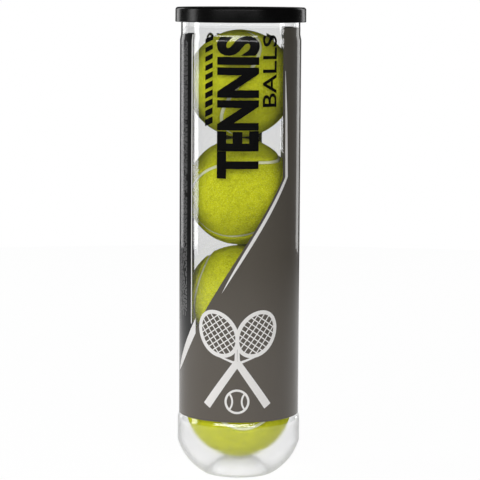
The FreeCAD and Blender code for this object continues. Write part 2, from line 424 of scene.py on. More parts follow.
class Graph:
    """A node tree with short ways to add, fill and join nodes."""

    def __init__(self, tree: bpy.types.NodeTree, material: bpy.types.Material | None = None) -> None:
        """Keep the tree to work on and the material it belongs to, if any."""
        self.tree = tree
        self.material = material

    def feed(self, value: Socket | Colour | float, target: Socket) -> None:
        """Join a socket to an input, or set the input.

        Args:
            value: an output socket, a colour or a number.
            target: the input.
        """
        if isinstance(value, bpy.types.NodeSocket):
            self.tree.links.new(value, target)
        elif isinstance(value, tuple):
            target.default_value = (*value, 1)
        else:
            target.default_value = value

    def put(self, node: bpy.types.Node, **values: Socket | Colour | float) -> bpy.types.Node:
        """Feed several inputs of a node.

        Args:
            node: the node.
            **values: what each input takes; underscores in a name stand for spaces.

        Returns:
            The same node.
        """
        for key, value in values.items():
            self.feed(value, node.inputs[key.replace("_", " ")])
        return node

    def node(self, kind: str, **settings: object) -> bpy.types.Node:
        """Add a node and set its properties.

        Args:
            kind: Blender's type name.
            **settings: properties of the node.

        Returns:
            The new node.
        """
        made = self.tree.nodes.new(kind)
        for key, value in settings.items():
            setattr(made, key, value)
        return made

    def group(self, tree: bpy.types.NodeTree, place: Socket, **values: float) -> bpy.types.Node:
        """Place a node group with its own values."""
        return self.put(self.node("ShaderNodeGroup", node_tree=tree), Vector=place, **values)

    def mix(
        self, factor: Socket | float, low: Socket | Colour, high: Socket | Colour, blend: str = "MIX"
    ) -> Socket:
        """Colour between two by a factor.

        Args:
            factor: the mask.
            low: colour where the mask is 0.
            high: colour where it is 1.
            blend: Blender's name for how the two are joined.

        Returns:
            The mixed colour's socket.
        """
        made = self.node("ShaderNodeMix", data_type="RGBA", blend_type=blend)
        self.feed(factor, made.inputs[MIX_FACTOR])
        self.feed(low, made.inputs[MIX_LOW])
        self.feed(high, made.inputs[MIX_HIGH])
        return made.outputs[MIX_RESULT]

    def spread(self, factor: Socket, low: Socket | float, high: Socket | float) -> Socket:
        """Map a 0 to 1 mask onto a range of values."""
        made = self.put(self.node("ShaderNodeMapRange"), Value=factor, To_Min=low, To_Max=high)
        return made.outputs["Result"]

    def fade(self, value: Socket, start: Socket | float, end: Socket | float) -> Socket:
        """Soft mask that goes from 0 to 1 as a value goes from start to end."""
        made = self.node("ShaderNodeMapRange", interpolation_type="SMOOTHSTEP")
        return self.put(made, Value=value, From_Min=start, From_Max=end).outputs["Result"]

    def maths(self, operation: str, *values: Socket | float, clamp: bool = False) -> Socket:
        """Join numbers by a Math node.

        Args:
            operation: Blender's name for the operation.
            *values: the numbers, in order.
            clamp: whether the result is kept between 0 and 1.

        Returns:
            The result's socket.
        """
        made = self.node("ShaderNodeMath", operation=operation, use_clamp=clamp)
        for value, target in zip(values, made.inputs):
            self.feed(value, target)
        return made.outputs[0]

    def vector_maths(self, operation: str, first: Socket, second: Socket | None = None) -> bpy.types.Node:
        """Add a Vector Math node.

        Args:
            operation: Blender's name for the operation.
            first: the first vector.
            second: the second vector, if the operation takes one.

        Returns:
            The node.
        """
        made = self.node("ShaderNodeVectorMath", operation=operation)
        self.feed(first, made.inputs[0])
        if second is not None:
            self.feed(second, made.inputs[1])
        return made


class Effect(Enum):
    """Surface effects that several finishes share, each a node group."""

    GRAIN = "surface grain"
    RINGS = "turned rings"
    DUST = "fine dust"
    RISE = "height mask"


@dataclass
class Group:
    """A node group in the making: its graph and its inner sockets by name."""

    graph: Graph
    inputs: dict[str, Socket]
    outputs: dict[str, Socket]


def new_group(effect: Effect, inputs: dict[str, float], outputs: Sequence[str]) -> Group:
    """Start a node group.

    Args:
        effect: the effect it makes.
        inputs: number inputs and their defaults; a Vector input is always added.
        outputs: names of the number outputs.

    Returns:
        The group, with nothing in it yet.
    """
    tree = bpy.data.node_groups.new(effect.value, "ShaderNodeTree")
    sockets = tree.interface
    sockets.new_socket("Vector", in_out="INPUT", socket_type="NodeSocketVector")
    for key, value in inputs.items():
        sockets.new_socket(key, in_out="INPUT", socket_type="NodeSocketFloat").default_value = value
    for key in outputs:
        sockets.new_socket(key, in_out="OUTPUT", socket_type="NodeSocketFloat")
    graph = Graph(tree)
    start, end = graph.node("NodeGroupInput"), graph.node("NodeGroupOutput")
    return Group(graph, {s.name: s for s in start.outputs}, {s.name: s for s in end.inputs})


def grain_group() -> bpy.types.NodeTree:
    """Build the moulded or woven grain: a soft mottling and a fine height.

    Returns:
        The group's tree.
    """
    defaults = {"Scale": 400.0, "Mottle Scale": 40.0, "Detail": 4.0}
    group = new_group(Effect.GRAIN, defaults, ["Mottle", "Height"])
    graph, inputs = group.graph, group.inputs
    fine, broad = graph.node("ShaderNodeTexNoise"), graph.node("ShaderNodeTexNoise")
    graph.put(fine, Vector=inputs["Vector"], Scale=inputs["Scale"], Detail=inputs["Detail"])
    graph.put(broad, Vector=inputs["Vector"], Scale=inputs["Mottle Scale"], Detail=3.0)
    graph.feed(fine.outputs["Fac"], group.outputs["Height"])
    graph.feed(graph.spread(broad.outputs["Fac"], -0.5, 1.5), group.outputs["Mottle"])
    return graph.tree


def rings_group() -> bpy.types.NodeTree:
    """Build the fine rings round the Z axis that rolling or turning leaves.

    Returns:
        The group's tree.
    """
    group = new_group(Effect.RINGS, {"Scale": 900.0, "Break": 6.0}, ["Mask"])
    graph, inputs = group.graph, group.inputs
    parts = graph.put(graph.node("ShaderNodeSeparateXYZ"), Vector=inputs["Vector"]).outputs
    flat = graph.put(graph.node("ShaderNodeCombineXYZ"), X=parts["X"], Y=parts["Y"])
    radius = graph.vector_maths("LENGTH", flat.outputs[0]).outputs["Value"]
    across = graph.maths("MULTIPLY", radius, inputs["Scale"])
    up = graph.maths("MULTIPLY", parts["Z"], inputs["Scale"])
    stretched = graph.put(graph.node("ShaderNodeCombineXYZ"), X=across, Z=up).outputs[0]
    broken = graph.put(graph.vector_maths("SCALE", inputs["Vector"]), Scale=inputs["Break"]).outputs[0]
    total = graph.vector_maths("ADD", stretched, broken).outputs[0]
    lines = graph.put(graph.node("ShaderNodeTexNoise"), Vector=total, Scale=1.0, Detail=3.0)
    graph.feed(graph.spread(lines.outputs["Fac"], -0.4, 1.4), group.outputs["Mask"])
    return graph.tree


def dust_group() -> bpy.types.NodeTree:
    """Build the sparse specks and handling marks.

    Returns:
        The group's tree.
    """
    group = new_group(Effect.DUST, {"Scale": 900.0, "Amount": 0.25}, ["Mask"])
    graph, inputs = group.graph, group.inputs
    specks = graph.node("ShaderNodeTexVoronoi", feature="F1")
    graph.put(specks, Vector=inputs["Vector"], Scale=inputs["Scale"])
    near = graph.node("ShaderNodeMapRange", clamp=True)
    graph.put(near, Value=specks.outputs["Distance"], From_Max=inputs["Amount"], To_Min=1.0, To_Max=0.0)
    graph.feed(near.outputs["Result"], group.outputs["Mask"])
    return graph.tree


def rise_group() -> bpy.types.NodeTree:
    """Build the soft mask between two heights, given in metres.

    Returns:
        The group's tree.
    """
    group = new_group(Effect.RISE, {"Start": 0.0, "End": 1.0}, ["Mask"])
    graph, inputs = group.graph, group.inputs
    parts = graph.put(graph.node("ShaderNodeSeparateXYZ"), Vector=inputs["Vector"]).outputs
    graph.feed(graph.fade(parts["Z"], inputs["Start"], inputs["End"]), group.outputs["Mask"])
    return graph.tree


class Effects:
    """The shared node groups, each built once."""

    def __init__(self) -> None:
        """Build every group."""
        self.trees: dict[Effect, bpy.types.NodeTree] = {
            Effect.GRAIN: grain_group(),
            Effect.RINGS: rings_group(),
            Effect.DUST: dust_group(),
            Effect.RISE: rise_group(),
        }

    def __getitem__(self, effect: Effect) -> bpy.types.NodeTree:
        """The group for an effect."""
        return self.trees[effect]


@dataclass
class Coat:
    """A material in the making: its graph, shader, output and object-space position."""

    graph: Graph
    shader: bpy.types.Node
    output: bpy.types.Node
    place: Socket

    def bump(self, height: Socket, strength: float, depth: float) -> None:
        """Feed a height to the shader's normal.

        Args:
            height: socket of the height.
            strength: how strong the bump is, 0 to 1.
            depth: real depth of the bump in metres.
        """
        made = self.graph.node("ShaderNodeBump")
        self.graph.put(made, Strength=strength, Distance=depth, Height=height)
        self.graph.feed(made.outputs[0], self.shader.inputs["Normal"])


def start_material(name: str) -> Coat:
    """New material with a Principled shader joined to its output.

    Args:
        name: the material's name.

    Returns:
        The material in the making.
    """
    material = bpy.data.materials.new(name)
    material.use_nodes = True
    material.node_tree.nodes.clear()
    graph = Graph(material.node_tree, material)
    shader = graph.node("ShaderNodeBsdfPrincipled")
    output = graph.node("ShaderNodeOutputMaterial")
    graph.feed(shader.outputs[0], output.inputs["Surface"])
    return Coat(graph, shader, output, graph.node("ShaderNodeTexCoord").outputs["Object"])


# ---- finishes ------------------------------------------------------------------------


@dataclass(frozen=True)
class ClearPlastic:
    """Blown clear plastic that lets lamps through, cloudier where the base is thick."""

    name: str = "clear_plastic"
    tint: Colour = (0.98, 0.982, 0.982)
    paler: Colour = (0.995, 0.997, 0.997)
    thick_tint: Colour = (0.968, 0.968, 0.972)
    thick_haze: float = 0.165
    thick_below: float = 0.030
    thick_fade: float = 0.008
    shadow_tint: Colour = (0.93, 0.94, 0.94)
    refraction: float = 1.5

    def make(self, effects: Effects) -> bpy.types.Material:
        """Build the material.

        Args:
            effects: the shared node groups.

        Returns:
            The finished material.
        """
        coat = start_material(self.name)
        graph, shader = coat.graph, coat.shader
        grain = graph.group(effects[Effect.GRAIN], coat.place, Scale=60.0, Mottle_Scale=18.0, Detail=1.0)
        mottle = grain.outputs["Mottle"]
        start = self.thick_below + self.thick_fade
        rise = graph.group(effects[Effect.RISE], coat.place, Start=start, End=self.thick_below)
        foot = rise.outputs["Mask"]
        tone = graph.mix(foot, graph.mix(mottle, self.tint, self.paler), self.thick_tint)
        haze = graph.spread(foot, graph.spread(mottle, 0.01, 0.035), self.thick_haze)
        graph.put(shader, Base_Color=tone, Roughness=haze, Transmission_Weight=1.0, IOR=self.refraction)
        coat.bump(grain.outputs["Height"], 0.35, 0.00025)
        clear = graph.put(graph.node("ShaderNodeBsdfTransparent"), Color=self.shadow_tint)
        rays = graph.node("ShaderNodeLightPath")
        mixed = graph.node("ShaderNodeMixShader")
        sources = (rays.outputs["Is Shadow Ray"], shader.outputs[0], clear.outputs[0])
        for source, target in zip(sources, mixed.inputs):
            graph.feed(source, target)
        graph.feed(mixed.outputs[0], coat.output.inputs["Surface"])
        return graph.material


@dataclass(frozen=True)
class Ink:
    """Ink printed on glossy film, a shade different towards the foot of the can."""

    name: str
    colour: Colour
    lower: Colour
    roughness: float = 0.38
    metal: float = 0.0
    speck_low: Colour = (0.86, 0.86, 0.86)
    speck_high: Colour = (1.1, 1.1, 1.1)
    speck_share: float = 0.6
    from_height: float = 0.28
    to_height: float = 0.04

    def make(self, effects: Effects) -> bpy.types.Material:
        """Build the material.

        Args:
            effects: the shared node groups.

        Returns:
            The finished material.
        """
        coat = start_material(self.name)
        graph = coat.graph
        grain = graph.group(effects[Effect.GRAIN], coat.place, Scale=2600.0, Mottle_Scale=30.0, Detail=2.0)
        parts = graph.put(graph.node("ShaderNodeSeparateXYZ"), Vector=coat.place).outputs
        drop = graph.node("ShaderNodeMapRange")
        graph.put(drop, Value=parts["Z"], From_Min=self.from_height, From_Max=self.to_height)
        speck = graph.mix(grain.outputs["Height"], self.speck_low, self.speck_high)
        base = graph.mix(drop.outputs["Result"], self.colour, self.lower)
        rough = graph.spread(grain.outputs["Mottle"], self.roughness - 0.05, self.roughness + 0.06)
        specked = graph.mix(self.speck_share, base, speck, "MULTIPLY")
        graph.put(coat.shader, Base_Color=specked, Roughness=rough)
        graph.put(coat.shader, Metallic=self.metal, Specular_IOR_Level=0.08)
        graph.put(coat.shader, Coat_Weight=0.7, Coat_Roughness=0.04)
        coat.bump(grain.outputs["Mottle"], 0.06, 0.0002)
        return graph.material


@dataclass(frozen=True)
class ClearFilm:
    """Unprinted part of the film: thin, faintly smoky and glossy."""

    name: str = "clear_film"
    smoke: Colour = (0.05, 0.05, 0.045)
    paler: Colour = (0.09, 0.09, 0.08)
    cover: float = 0.10
    uneven: float = 0.15

    def make(self, effects: Effects) -> bpy.types.Material:
        """Build the material.

        Args:
            effects: the shared node groups.

        Returns:
            The finished material.
        """
        coat = start_material(self.name)
        graph = coat.graph
        grain = graph.group(effects[Effect.GRAIN], coat.place, Scale=900.0, Mottle_Scale=25.0, Detail=1.0)
        mottle = grain.outputs["Mottle"]
        cover = graph.spread(mottle, self.cover * (1 - self.uneven), self.cover * (1 + self.uneven))
        tone = graph.mix(mottle, self.smoke, self.paler)
        graph.put(coat.shader, Base_Color=tone, Alpha=cover, Roughness=0.12)
        return graph.material


@dataclass(frozen=True)
class Moulded:
    """Opaque moulded plastic or rubber."""

    name: str
    colour: Colour
    paler: Colour
    roughness: float
    grain: float = 0.3
    dust: float = 0.1
    gloss: float = 0.4
    dust_colour: Colour = (0.45, 0.44, 0.42)

    def make(self, effects: Effects) -> bpy.types.Material:
        """Build the material.

        Args:
            effects: the shared node groups.

        Returns:
            The finished material.
        """
        coat = start_material(self.name)
        graph = coat.graph
        grain = graph.group(effects[Effect.GRAIN], coat.place, Scale=1500.0, Mottle_Scale=60.0, Detail=3.0)
        dust = graph.group(effects[Effect.DUST], coat.place, Scale=500.0, Amount=0.09)
        mottle = grain.outputs["Mottle"]
        dusty = graph.spread(dust.outputs["Mask"], 0.0, self.dust)
        tone = graph.mix(dusty, graph.mix(mottle, self.colour, self.paler), self.dust_colour)
        rough = graph.spread(mottle, self.roughness - 0.05, self.roughness + 0.07)
        graph.put(coat.shader, Base_Color=tone, Roughness=rough, Specular_IOR_Level=self.gloss)
        coat.bump(grain.outputs["Height"], self.grain, 0.00008)
        return graph.material


@dataclass(frozen=True)
class SheetMetal:
    """Rolled or stamped aluminium."""

    name: str
    colour: Colour
    paler: Colour
    roughness: float

    def make(self, effects: Effects) -> bpy.types.Material:
        """Build the material.

        Args:
            effects: the shared node groups.

        Returns:
            The finished material.
        """
        coat = start_material(self.name)
        graph = coat.graph
        rings = graph.group(effects[Effect.RINGS], coat.place, Scale=4200.0, Break=25.0).outputs["Mask"]
        grain = graph.group(effects[Effect.GRAIN], coat.place, Scale=1200.0, Mottle_Scale=80.0, Detail=3.0)
        rough = graph.spread(grain.outputs["Mottle"], self.roughness - 0.06, self.roughness + 0.08)
        tone = graph.mix(rings, self.colour, self.paler)
        graph.put(coat.shader, Base_Color=tone, Roughness=rough, Metallic=1.0)
        coat.bump(rings, 0.12, 0.00004)
        return graph.material


@dataclass(frozen=True)
class Felt:
    """Woolly felt with lighter and darker tufts."""

    name: str = "ball_felt"
    deep: Colour = (0.27, 0.30, 0.002)
    mid: Colour = (0.48, 0.50, 0.004)
    pale: Colour = (0.72, 0.73, 0.03)
    sheen: Colour = (0.9, 0.95, 0.3)

    def make(self, effects: Effects) -> bpy.types.Material:
        """Build the material.

        Args:
            effects: the shared node groups.

        Returns:
            The finished material.
        """
        coat = start_material(self.name)
        graph = coat.graph
        tufts = graph.group(effects[Effect.GRAIN], coat.place, Scale=1100.0, Mottle_Scale=260.0, Detail=6.0)
        fibre = graph.spread(tufts.outputs["Height"], -0.6, 1.3)
        tone = graph.mix(fibre, graph.mix(tufts.outputs["Mottle"], self.deep, self.mid), self.pale)
        graph.put(coat.shader, Base_Color=tone, Roughness=0.95, Specular_IOR_Level=0.05)
        graph.put(coat.shader, Sheen_Weight=0.05, Sheen_Roughness=0.5, Sheen_Tint=self.sheen)
        coat.bump(tufts.outputs["Height"], 0.8, 0.0006)
        return graph.material


class Finishes:
    """Every material of the can, built once."""

    def __init__(self) -> None:
        """Build the shared effects and then the materials."""
        effects = Effects()
        kinds = [
            ClearPlastic(),
            ClearFilm(),
            Ink("grey_ink", (0.104, 0.095, 0.078), (0.120, 0.104, 0.086), 0.42, metal=0.1),
            Ink("black_ink", (0.002, 0.002, 0.002), (0.003, 0.003, 0.003), 0.3),
            Ink("white_ink", (0.93, 0.92, 0.90), (0.90, 0.88, 0.86), 0.45),
            Ink("faint_ink", (0.27, 0.27, 0.27), (0.25, 0.25, 0.25), 0.45),
            Moulded("cap_plastic", (0.002, 0.002, 0.002), (0.004, 0.004, 0.004), 0.22, 0.2, 0.01, 0.2),
            Moulded("core_rubber", (0.05, 0.045, 0.04), (0.09, 0.08, 0.07), 0.8, 0.5),
            Moulded("sealing_rubber", (0.45, 0.46, 0.45), (0.55, 0.56, 0.55), 0.7),
            Moulded("seam_glue", (0.66, 0.68, 0.42), (0.78, 0.78, 0.56), 0.75, 0.5, 0.05),
            SheetMetal("end_metal", (0.60, 0.60, 0.61), (0.72, 0.72, 0.73), 0.30),
            SheetMetal("tab_metal", (0.66, 0.66, 0.67), (0.78, 0.78, 0.79), 0.22),
            Felt(),
        ]
        self.materials: dict[str, bpy.types.Material] = {kind.name: kind.make(effects) for kind in kinds}

    def __getitem__(self, name: str) -> bpy.types.Material:
        """The material of that name."""
        return self.materials[name]


# ---- the tube ------------------------------------------------------------------------


@dataclass
class Tube:
    """Clear blown tube: push-up base, standing ring, label panel, neck and flange."""

    bulge_r: float = from_frame("can_body", Edge.SIDE)
    top: float = from_frame("can_body", Edge.TOP)
    wall: float = 0.6
    gate_r: float = 1.6
    gate_low: float = 5.65
    gate_fillet: float = 0.5
    gate_root_r: float = 3.0
    dome_low: float = 8.05
    dome_flat_r: float = 6.0
    dome_bend: Pair = (13.0, 5.65)
    dome_r: float = 17.2
    dome_edge: float = 0.35
    ring_r: float = 18.4
    ring_bend: Pair = (17.7, 0.02)
    foot_r: float = 22.6
    bowl_swell: float = 1.4
    bowl_bend: float = 8.0
    bowl_top: float = 20.0
    bowl_blend: float = 1.2
    bulge_top: float = 34.5
    panel_low: float = 36.9
    panel_step: float = 0.85
    shoulder_drop: float = 17.5
    shoulder_tall: float = 3.5
    neck_step: float = 0.65
    flare: float = 0.9
    flange: float = 1.2
    longest_run: float = 8.0
    segments: int = 160

    @property
    def panel_r(self) -> float:
        """Outer radius of the label panel."""
        return self.bulge_r - self.panel_step

    @property
    def neck_r(self) -> float:
        """Outer radius of the neck."""
        return self.panel_r - self.neck_step

    @property
    def shoulder(self) -> float:
        """Height where the shoulder starts."""
        return self.top - self.shoulder_drop

    @property
    def neck_low(self) -> float:
        """Height where the neck starts."""
        return self.shoulder + self.shoulder_tall

    def radius_at(self, height: float) -> float:
        """Outer radius of the panel, shoulder or neck at a height."""
        share = (height - self.shoulder) / self.shoulder_tall
        return self.panel_r - self.neck_step * min(1.0, max(0.0, share))

    def base(self) -> Loop:
        """Outer face of the base, from the gate under the dome out to the upright wall.

        Returns:
            The points, none below the surface that the can stands on.
        """
        gate = [
            (0, self.gate_low),
            (self.gate_r, self.gate_low),
            (self.gate_r, self.dome_low - 0.1),
            (self.gate_root_r, self.dome_low),
        ]
        flat = run(gate[-1], (self.dome_flat_r, self.dome_low), 2)
        dome = arc(flat[-1], self.dome_bend, (self.dome_r, self.dome_edge), 14)
        ring = arc(dome[-1], self.ring_bend, (self.ring_r, 0.0), 4)
        bowl_mid = ((self.foot_r + self.bulge_r) / 2 + self.bowl_swell, self.bowl_bend)
        bowl = arc((self.foot_r, 0.0), bowl_mid, (self.bulge_r, self.bowl_top), 26)
        whole = chain(rounded(gate, self.gate_fillet, 4, False), flat, dome, ring, bowl)
        return [(radius, max(0.0, height)) for radius, height in whole]

    def sides(self) -> Loop:
        """Outer face of the upright wall, shoulder, neck and flange, from the bottom up.

        Returns:
            The points, with long runs cut.
        """
        flange_low = self.top - self.wall
        corners = [
            (self.bulge_r, self.bowl_top + self.bowl_blend),
            (self.bulge_r, self.bulge_top),
            (self.panel_r, self.panel_low),
            (self.panel_r, self.shoulder),
            (self.neck_r, self.neck_low),
            (self.neck_r, flange_low - self.flare),
            (self.neck_r + self.flare, flange_low),
            (self.neck_r + self.flange, flange_low),
        ]
        return divided(rounded(corners, 1.0, 5, False), self.longest_run)

    def section(self) -> Loop:
        """Section of the wall; the gate nub is solid.

        Returns:
            The outer face and the inner face walked back to the axis.
        """
        outer = chain(self.base(), self.sides())
        first = next(i for i, point in enumerate(outer) if point[0] >= self.gate_root_r - 0.1)
        inner = thicken(outer[first:], self.wall)[len(outer) - first:]
        return chain(outer, inner, [(0.0, self.dome_low + self.wall)])

    def build(self, finishes: Finishes) -> None:
        """Build and dress the tube."""
        piece = Piece("clear_tube", "can", "clear_plastic", ("can_body",))
        piece.place(turn(self.section(), self.segments, closed=False), finishes["clear_plastic"])


# ---- the label's artwork -------------------------------------------------------------


class Layer(Enum):
    """Print layers, with how far each stands off the tube's wall in millimetres."""

    GROUND = 0.06
    LINES = 0.09
    MARKS = 0.12


@dataclass
class Print:
    """One flat patch of print: loops of (degrees from the front, height) and its ink."""

    loops: list[Loop]
    ink: str
    layer: Layer
    lift: float = 0.0


@dataclass(frozen=True)
class Word:
    """A word that reads upward, and the box that it fills."""

    text: str
    left: float
    right: float
    low: float
    high: float
    weight: float
    ink: str = "black_ink"

    def prints(self) -> list[Print]:
        """Draw the word: left is where its letters' tops lean to, right where their feet stand.

        Returns:
            One patch per face of the letters.
        """
        curve = bpy.data.curves.new("word", "FONT")
        curve.body = self.text
        curve.offset = self.weight
        curve.resolution_u = 5
        obj = bpy.data.objects.new("word", curve)
        bpy.context.scene.collection.objects.link(obj)
        mesh = obj.evaluated_get(bpy.context.evaluated_depsgraph_get()).to_mesh().copy()
        bpy.data.objects.remove(obj)
        points = np.array([v.co[:2] for v in mesh.vertices])
        smallest, largest = points.min(0), points.max(0)
        shares = (points - smallest) / (largest - smallest)
        width, height = self.left - self.right, self.high - self.low
        flat = [(self.right + width * y, self.low + height * x) for x, y in shares]
        prints = [Print([[flat[i] for i in face.vertices]], self.ink, Layer.MARKS) for face in mesh.polygons]
        bpy.data.meshes.remove(mesh)
        return prints


@dataclass(frozen=True)
class SlantBars:
    """A column of slanting bars beside the large word, each a little thinner than the last."""

    count: int = 10
    left: float = -34.6
    right: float = -26.4
    low: float = 217.0
    pitch: float = 5.5
    slant: float = 2.4
    tall: float = 3.9
    thinner: float = 0.12

    def prints(self) -> list[Print]:
        """Draw the bars.

        Returns:
            One patch per bar.
        """
        prints = []
        for i in range(self.count):
            foot = self.low + i * self.pitch
            tall = self.tall - self.thinner * i
            bar = rectangle(self.left, self.right, foot, foot + tall)
            slanted = [(x, y + self.slant * (x == self.right)) for x, y in bar]
            prints.append(Print([slanted], "black_ink", Layer.MARKS))
        return prints


@dataclass(frozen=True)
class SmallPrint:
    """Columns of short dashes, in place of small print."""

    left: float = -76.0
    right: float = -60.5
    pitch: float = 2.2
    width: float = 0.85
    low: float = 98.0
    ragged: float = 8.0
    last_start: float = 266.0
    high: float = 268.0
    dash: Pair = (0.9, 3.2)
    gap: Pair = (0.4, 0.8)
    skipped: float = 0.1
    seed: int = 7

    def prints(self) -> list[Print]:
        """Draw the dashes.

        Returns:
            One patch per dash.
        """
        draw = random.Random(self.seed)
        prints = []
        for column in np.arange(self.left, self.right, self.pitch):
            height = self.low + draw.uniform(0, self.ragged)
            while height < self.last_start:
                length = draw.uniform(*self.dash)
                if draw.random() > self.skipped:
                    end = min(height + length, self.high)
                    outline = rectangle(column, column + self.width, height, end)
                    prints.append(Print([outline], "faint_ink", Layer.MARKS))
                height += length + draw.uniform(*self.gap)
        return prints


@dataclass(frozen=True)
class Emblem:
    """Two crossed rackets over a ball, drawn in millimetres round the rackets' crossing."""

    middle: Pair = (-1.5, 74.5)
    scale: float = 0.93
    overprint: float = 0.0015
    lean: float = 35.0
    head_wide: float = 12.9
    head_tall: float = 16.8
    head_up: float = 22.5
    frame_width: float = 2.6
    string_pitch: float = 3.4
    string_half: float = 0.35
    string_sunk: float = 0.1
    throat: tuple[Pair, ...] = ((9.0, 11.0), (6.9, 9.6), (0.4, 0.5), (0.4, -3.0), (2.3, -3.0), (2.3, 0.2))
    shaft: tuple[Pair, ...] = ((2.3, 0.4), (2.3, -3.0), (2.8, -36.0))
    ball_down: float = 26.0
    ball_r: float = 8.2
    ball_inner_r: float = 6.7
    seam_out: float = 11.2
    seam_outer: Pair = (8.7, 0.72)
    seam_inner: Pair = (7.5, 0.84)
    head_steps: int = 56
    ball_steps: int = 44
    seam_steps: int = 14

    def oval(self, shrink: float) -> Loop:
        """Outline of a racket's head, moved inward.

        Args:
            shrink: how far it is moved inward.

        Returns:
            The points round it.
        """
        turns = [FULL_TURN * i / self.head_steps for i in range(self.head_steps)]
        wide, tall = self.head_wide - shrink, self.head_tall - shrink
        return [(wide * math.cos(t), self.head_up + tall * math.sin(t)) for t in turns]

    def strings(self) -> list[Loop]:
        """Strings of an upright racket, each reaching a little under its frame.

        Returns:
            The strings' outlines: the upright ones and then the level ones.
        """
        half, up = self.string_half, self.head_up
        wide = self.head_wide - self.frame_width + self.string_sunk
        tall = self.head_tall - self.frame_width + self.string_sunk
        outlines = []
        for k in (-2, -1, 0, 1, 2):
            across = k * self.string_pitch
            reach = tall * math.sqrt(1 - (across / wide) ** 2)
            outlines.append(rectangle(across - half, across + half, up - reach, up + reach))
        for k in (-3, -2, -1, 0, 1, 2, 3):
            along = k * self.string_pitch
            reach = wide * math.sqrt(1 - (along / tall) ** 2)
            outlines.append(rectangle(-reach, reach, up + along - half, up + along + half))
        return outlines

    def racket(self, side: int) -> list[list[Loop]]:
        """Shapes of one racket, leaning to one side about the crossing.

        Args:
            side: 1 to lean right, -1 to lean left.

        Returns:
            The shapes, each a list of loops.
        """
        flanks = [[(flank * x, y) for x, y in self.throat] for flank in (-1, 1)]
        mirrored = [(-x, y) for x, y in self.shaft]
        shaft = mirrored[:1] + list(self.shaft) + mirrored[:0:-1]
        upright = [[self.oval(0.0), self.oval(self.frame_width)]]
        upright += [[outline] for outline in (*self.strings(), *flanks, shaft)]
        lean = math.radians(self.lean * side)
        cos, sin = math.cos(lean), math.sin(lean)
        return [
            [[(x * cos + y * sin, y * cos - x * sin) for x, y in loop] for loop in loops]
            for loops in upright
        ]

    def ball(self) -> list[list[Loop]]:
        """Shapes of the ball: its rim and its two seam lines.

        Returns:
            The shapes, each a list of loops.
        """
        middle = (0.0, -self.ball_down)
        shapes = [[circle(radius, self.ball_steps, middle) for radius in (self.ball_r, self.ball_inner_r)]]
        for side in (1, -1):
            edges = []
            for radius, reach in (self.seam_outer, self.seam_inner):
                turns = np.linspace(-reach, reach, self.seam_steps)
                points = [on_circle((-self.seam_out, -self.ball_down), radius, t) for t in turns]
                edges.append([(-side * x, y) for x, y in points])
            shapes.append([edges[0] + edges[1][::-1]])
        return shapes

    def prints(self, per_degree: float) -> list[Print]:
        """Draw the emblem, each shape laid a hair above the one before.

        Args:
            per_degree: millimetres round the can in one degree.

        Returns:
            One patch per shape.
        """
        shapes = [*self.racket(1), *self.racket(-1), *self.ball()]
        across, up = self.middle
        wide, tall = self.scale / per_degree, self.scale
        placed = [
            [[(across + wide * x, up + tall * y) for x, y in loop] for loop in loops] for loops in shapes
        ]
        lifts = [self.overprint * i for i in range(len(placed))]
        return [Print(loops, "white_ink", Layer.MARKS, lift) for loops, lift in zip(placed, lifts)]


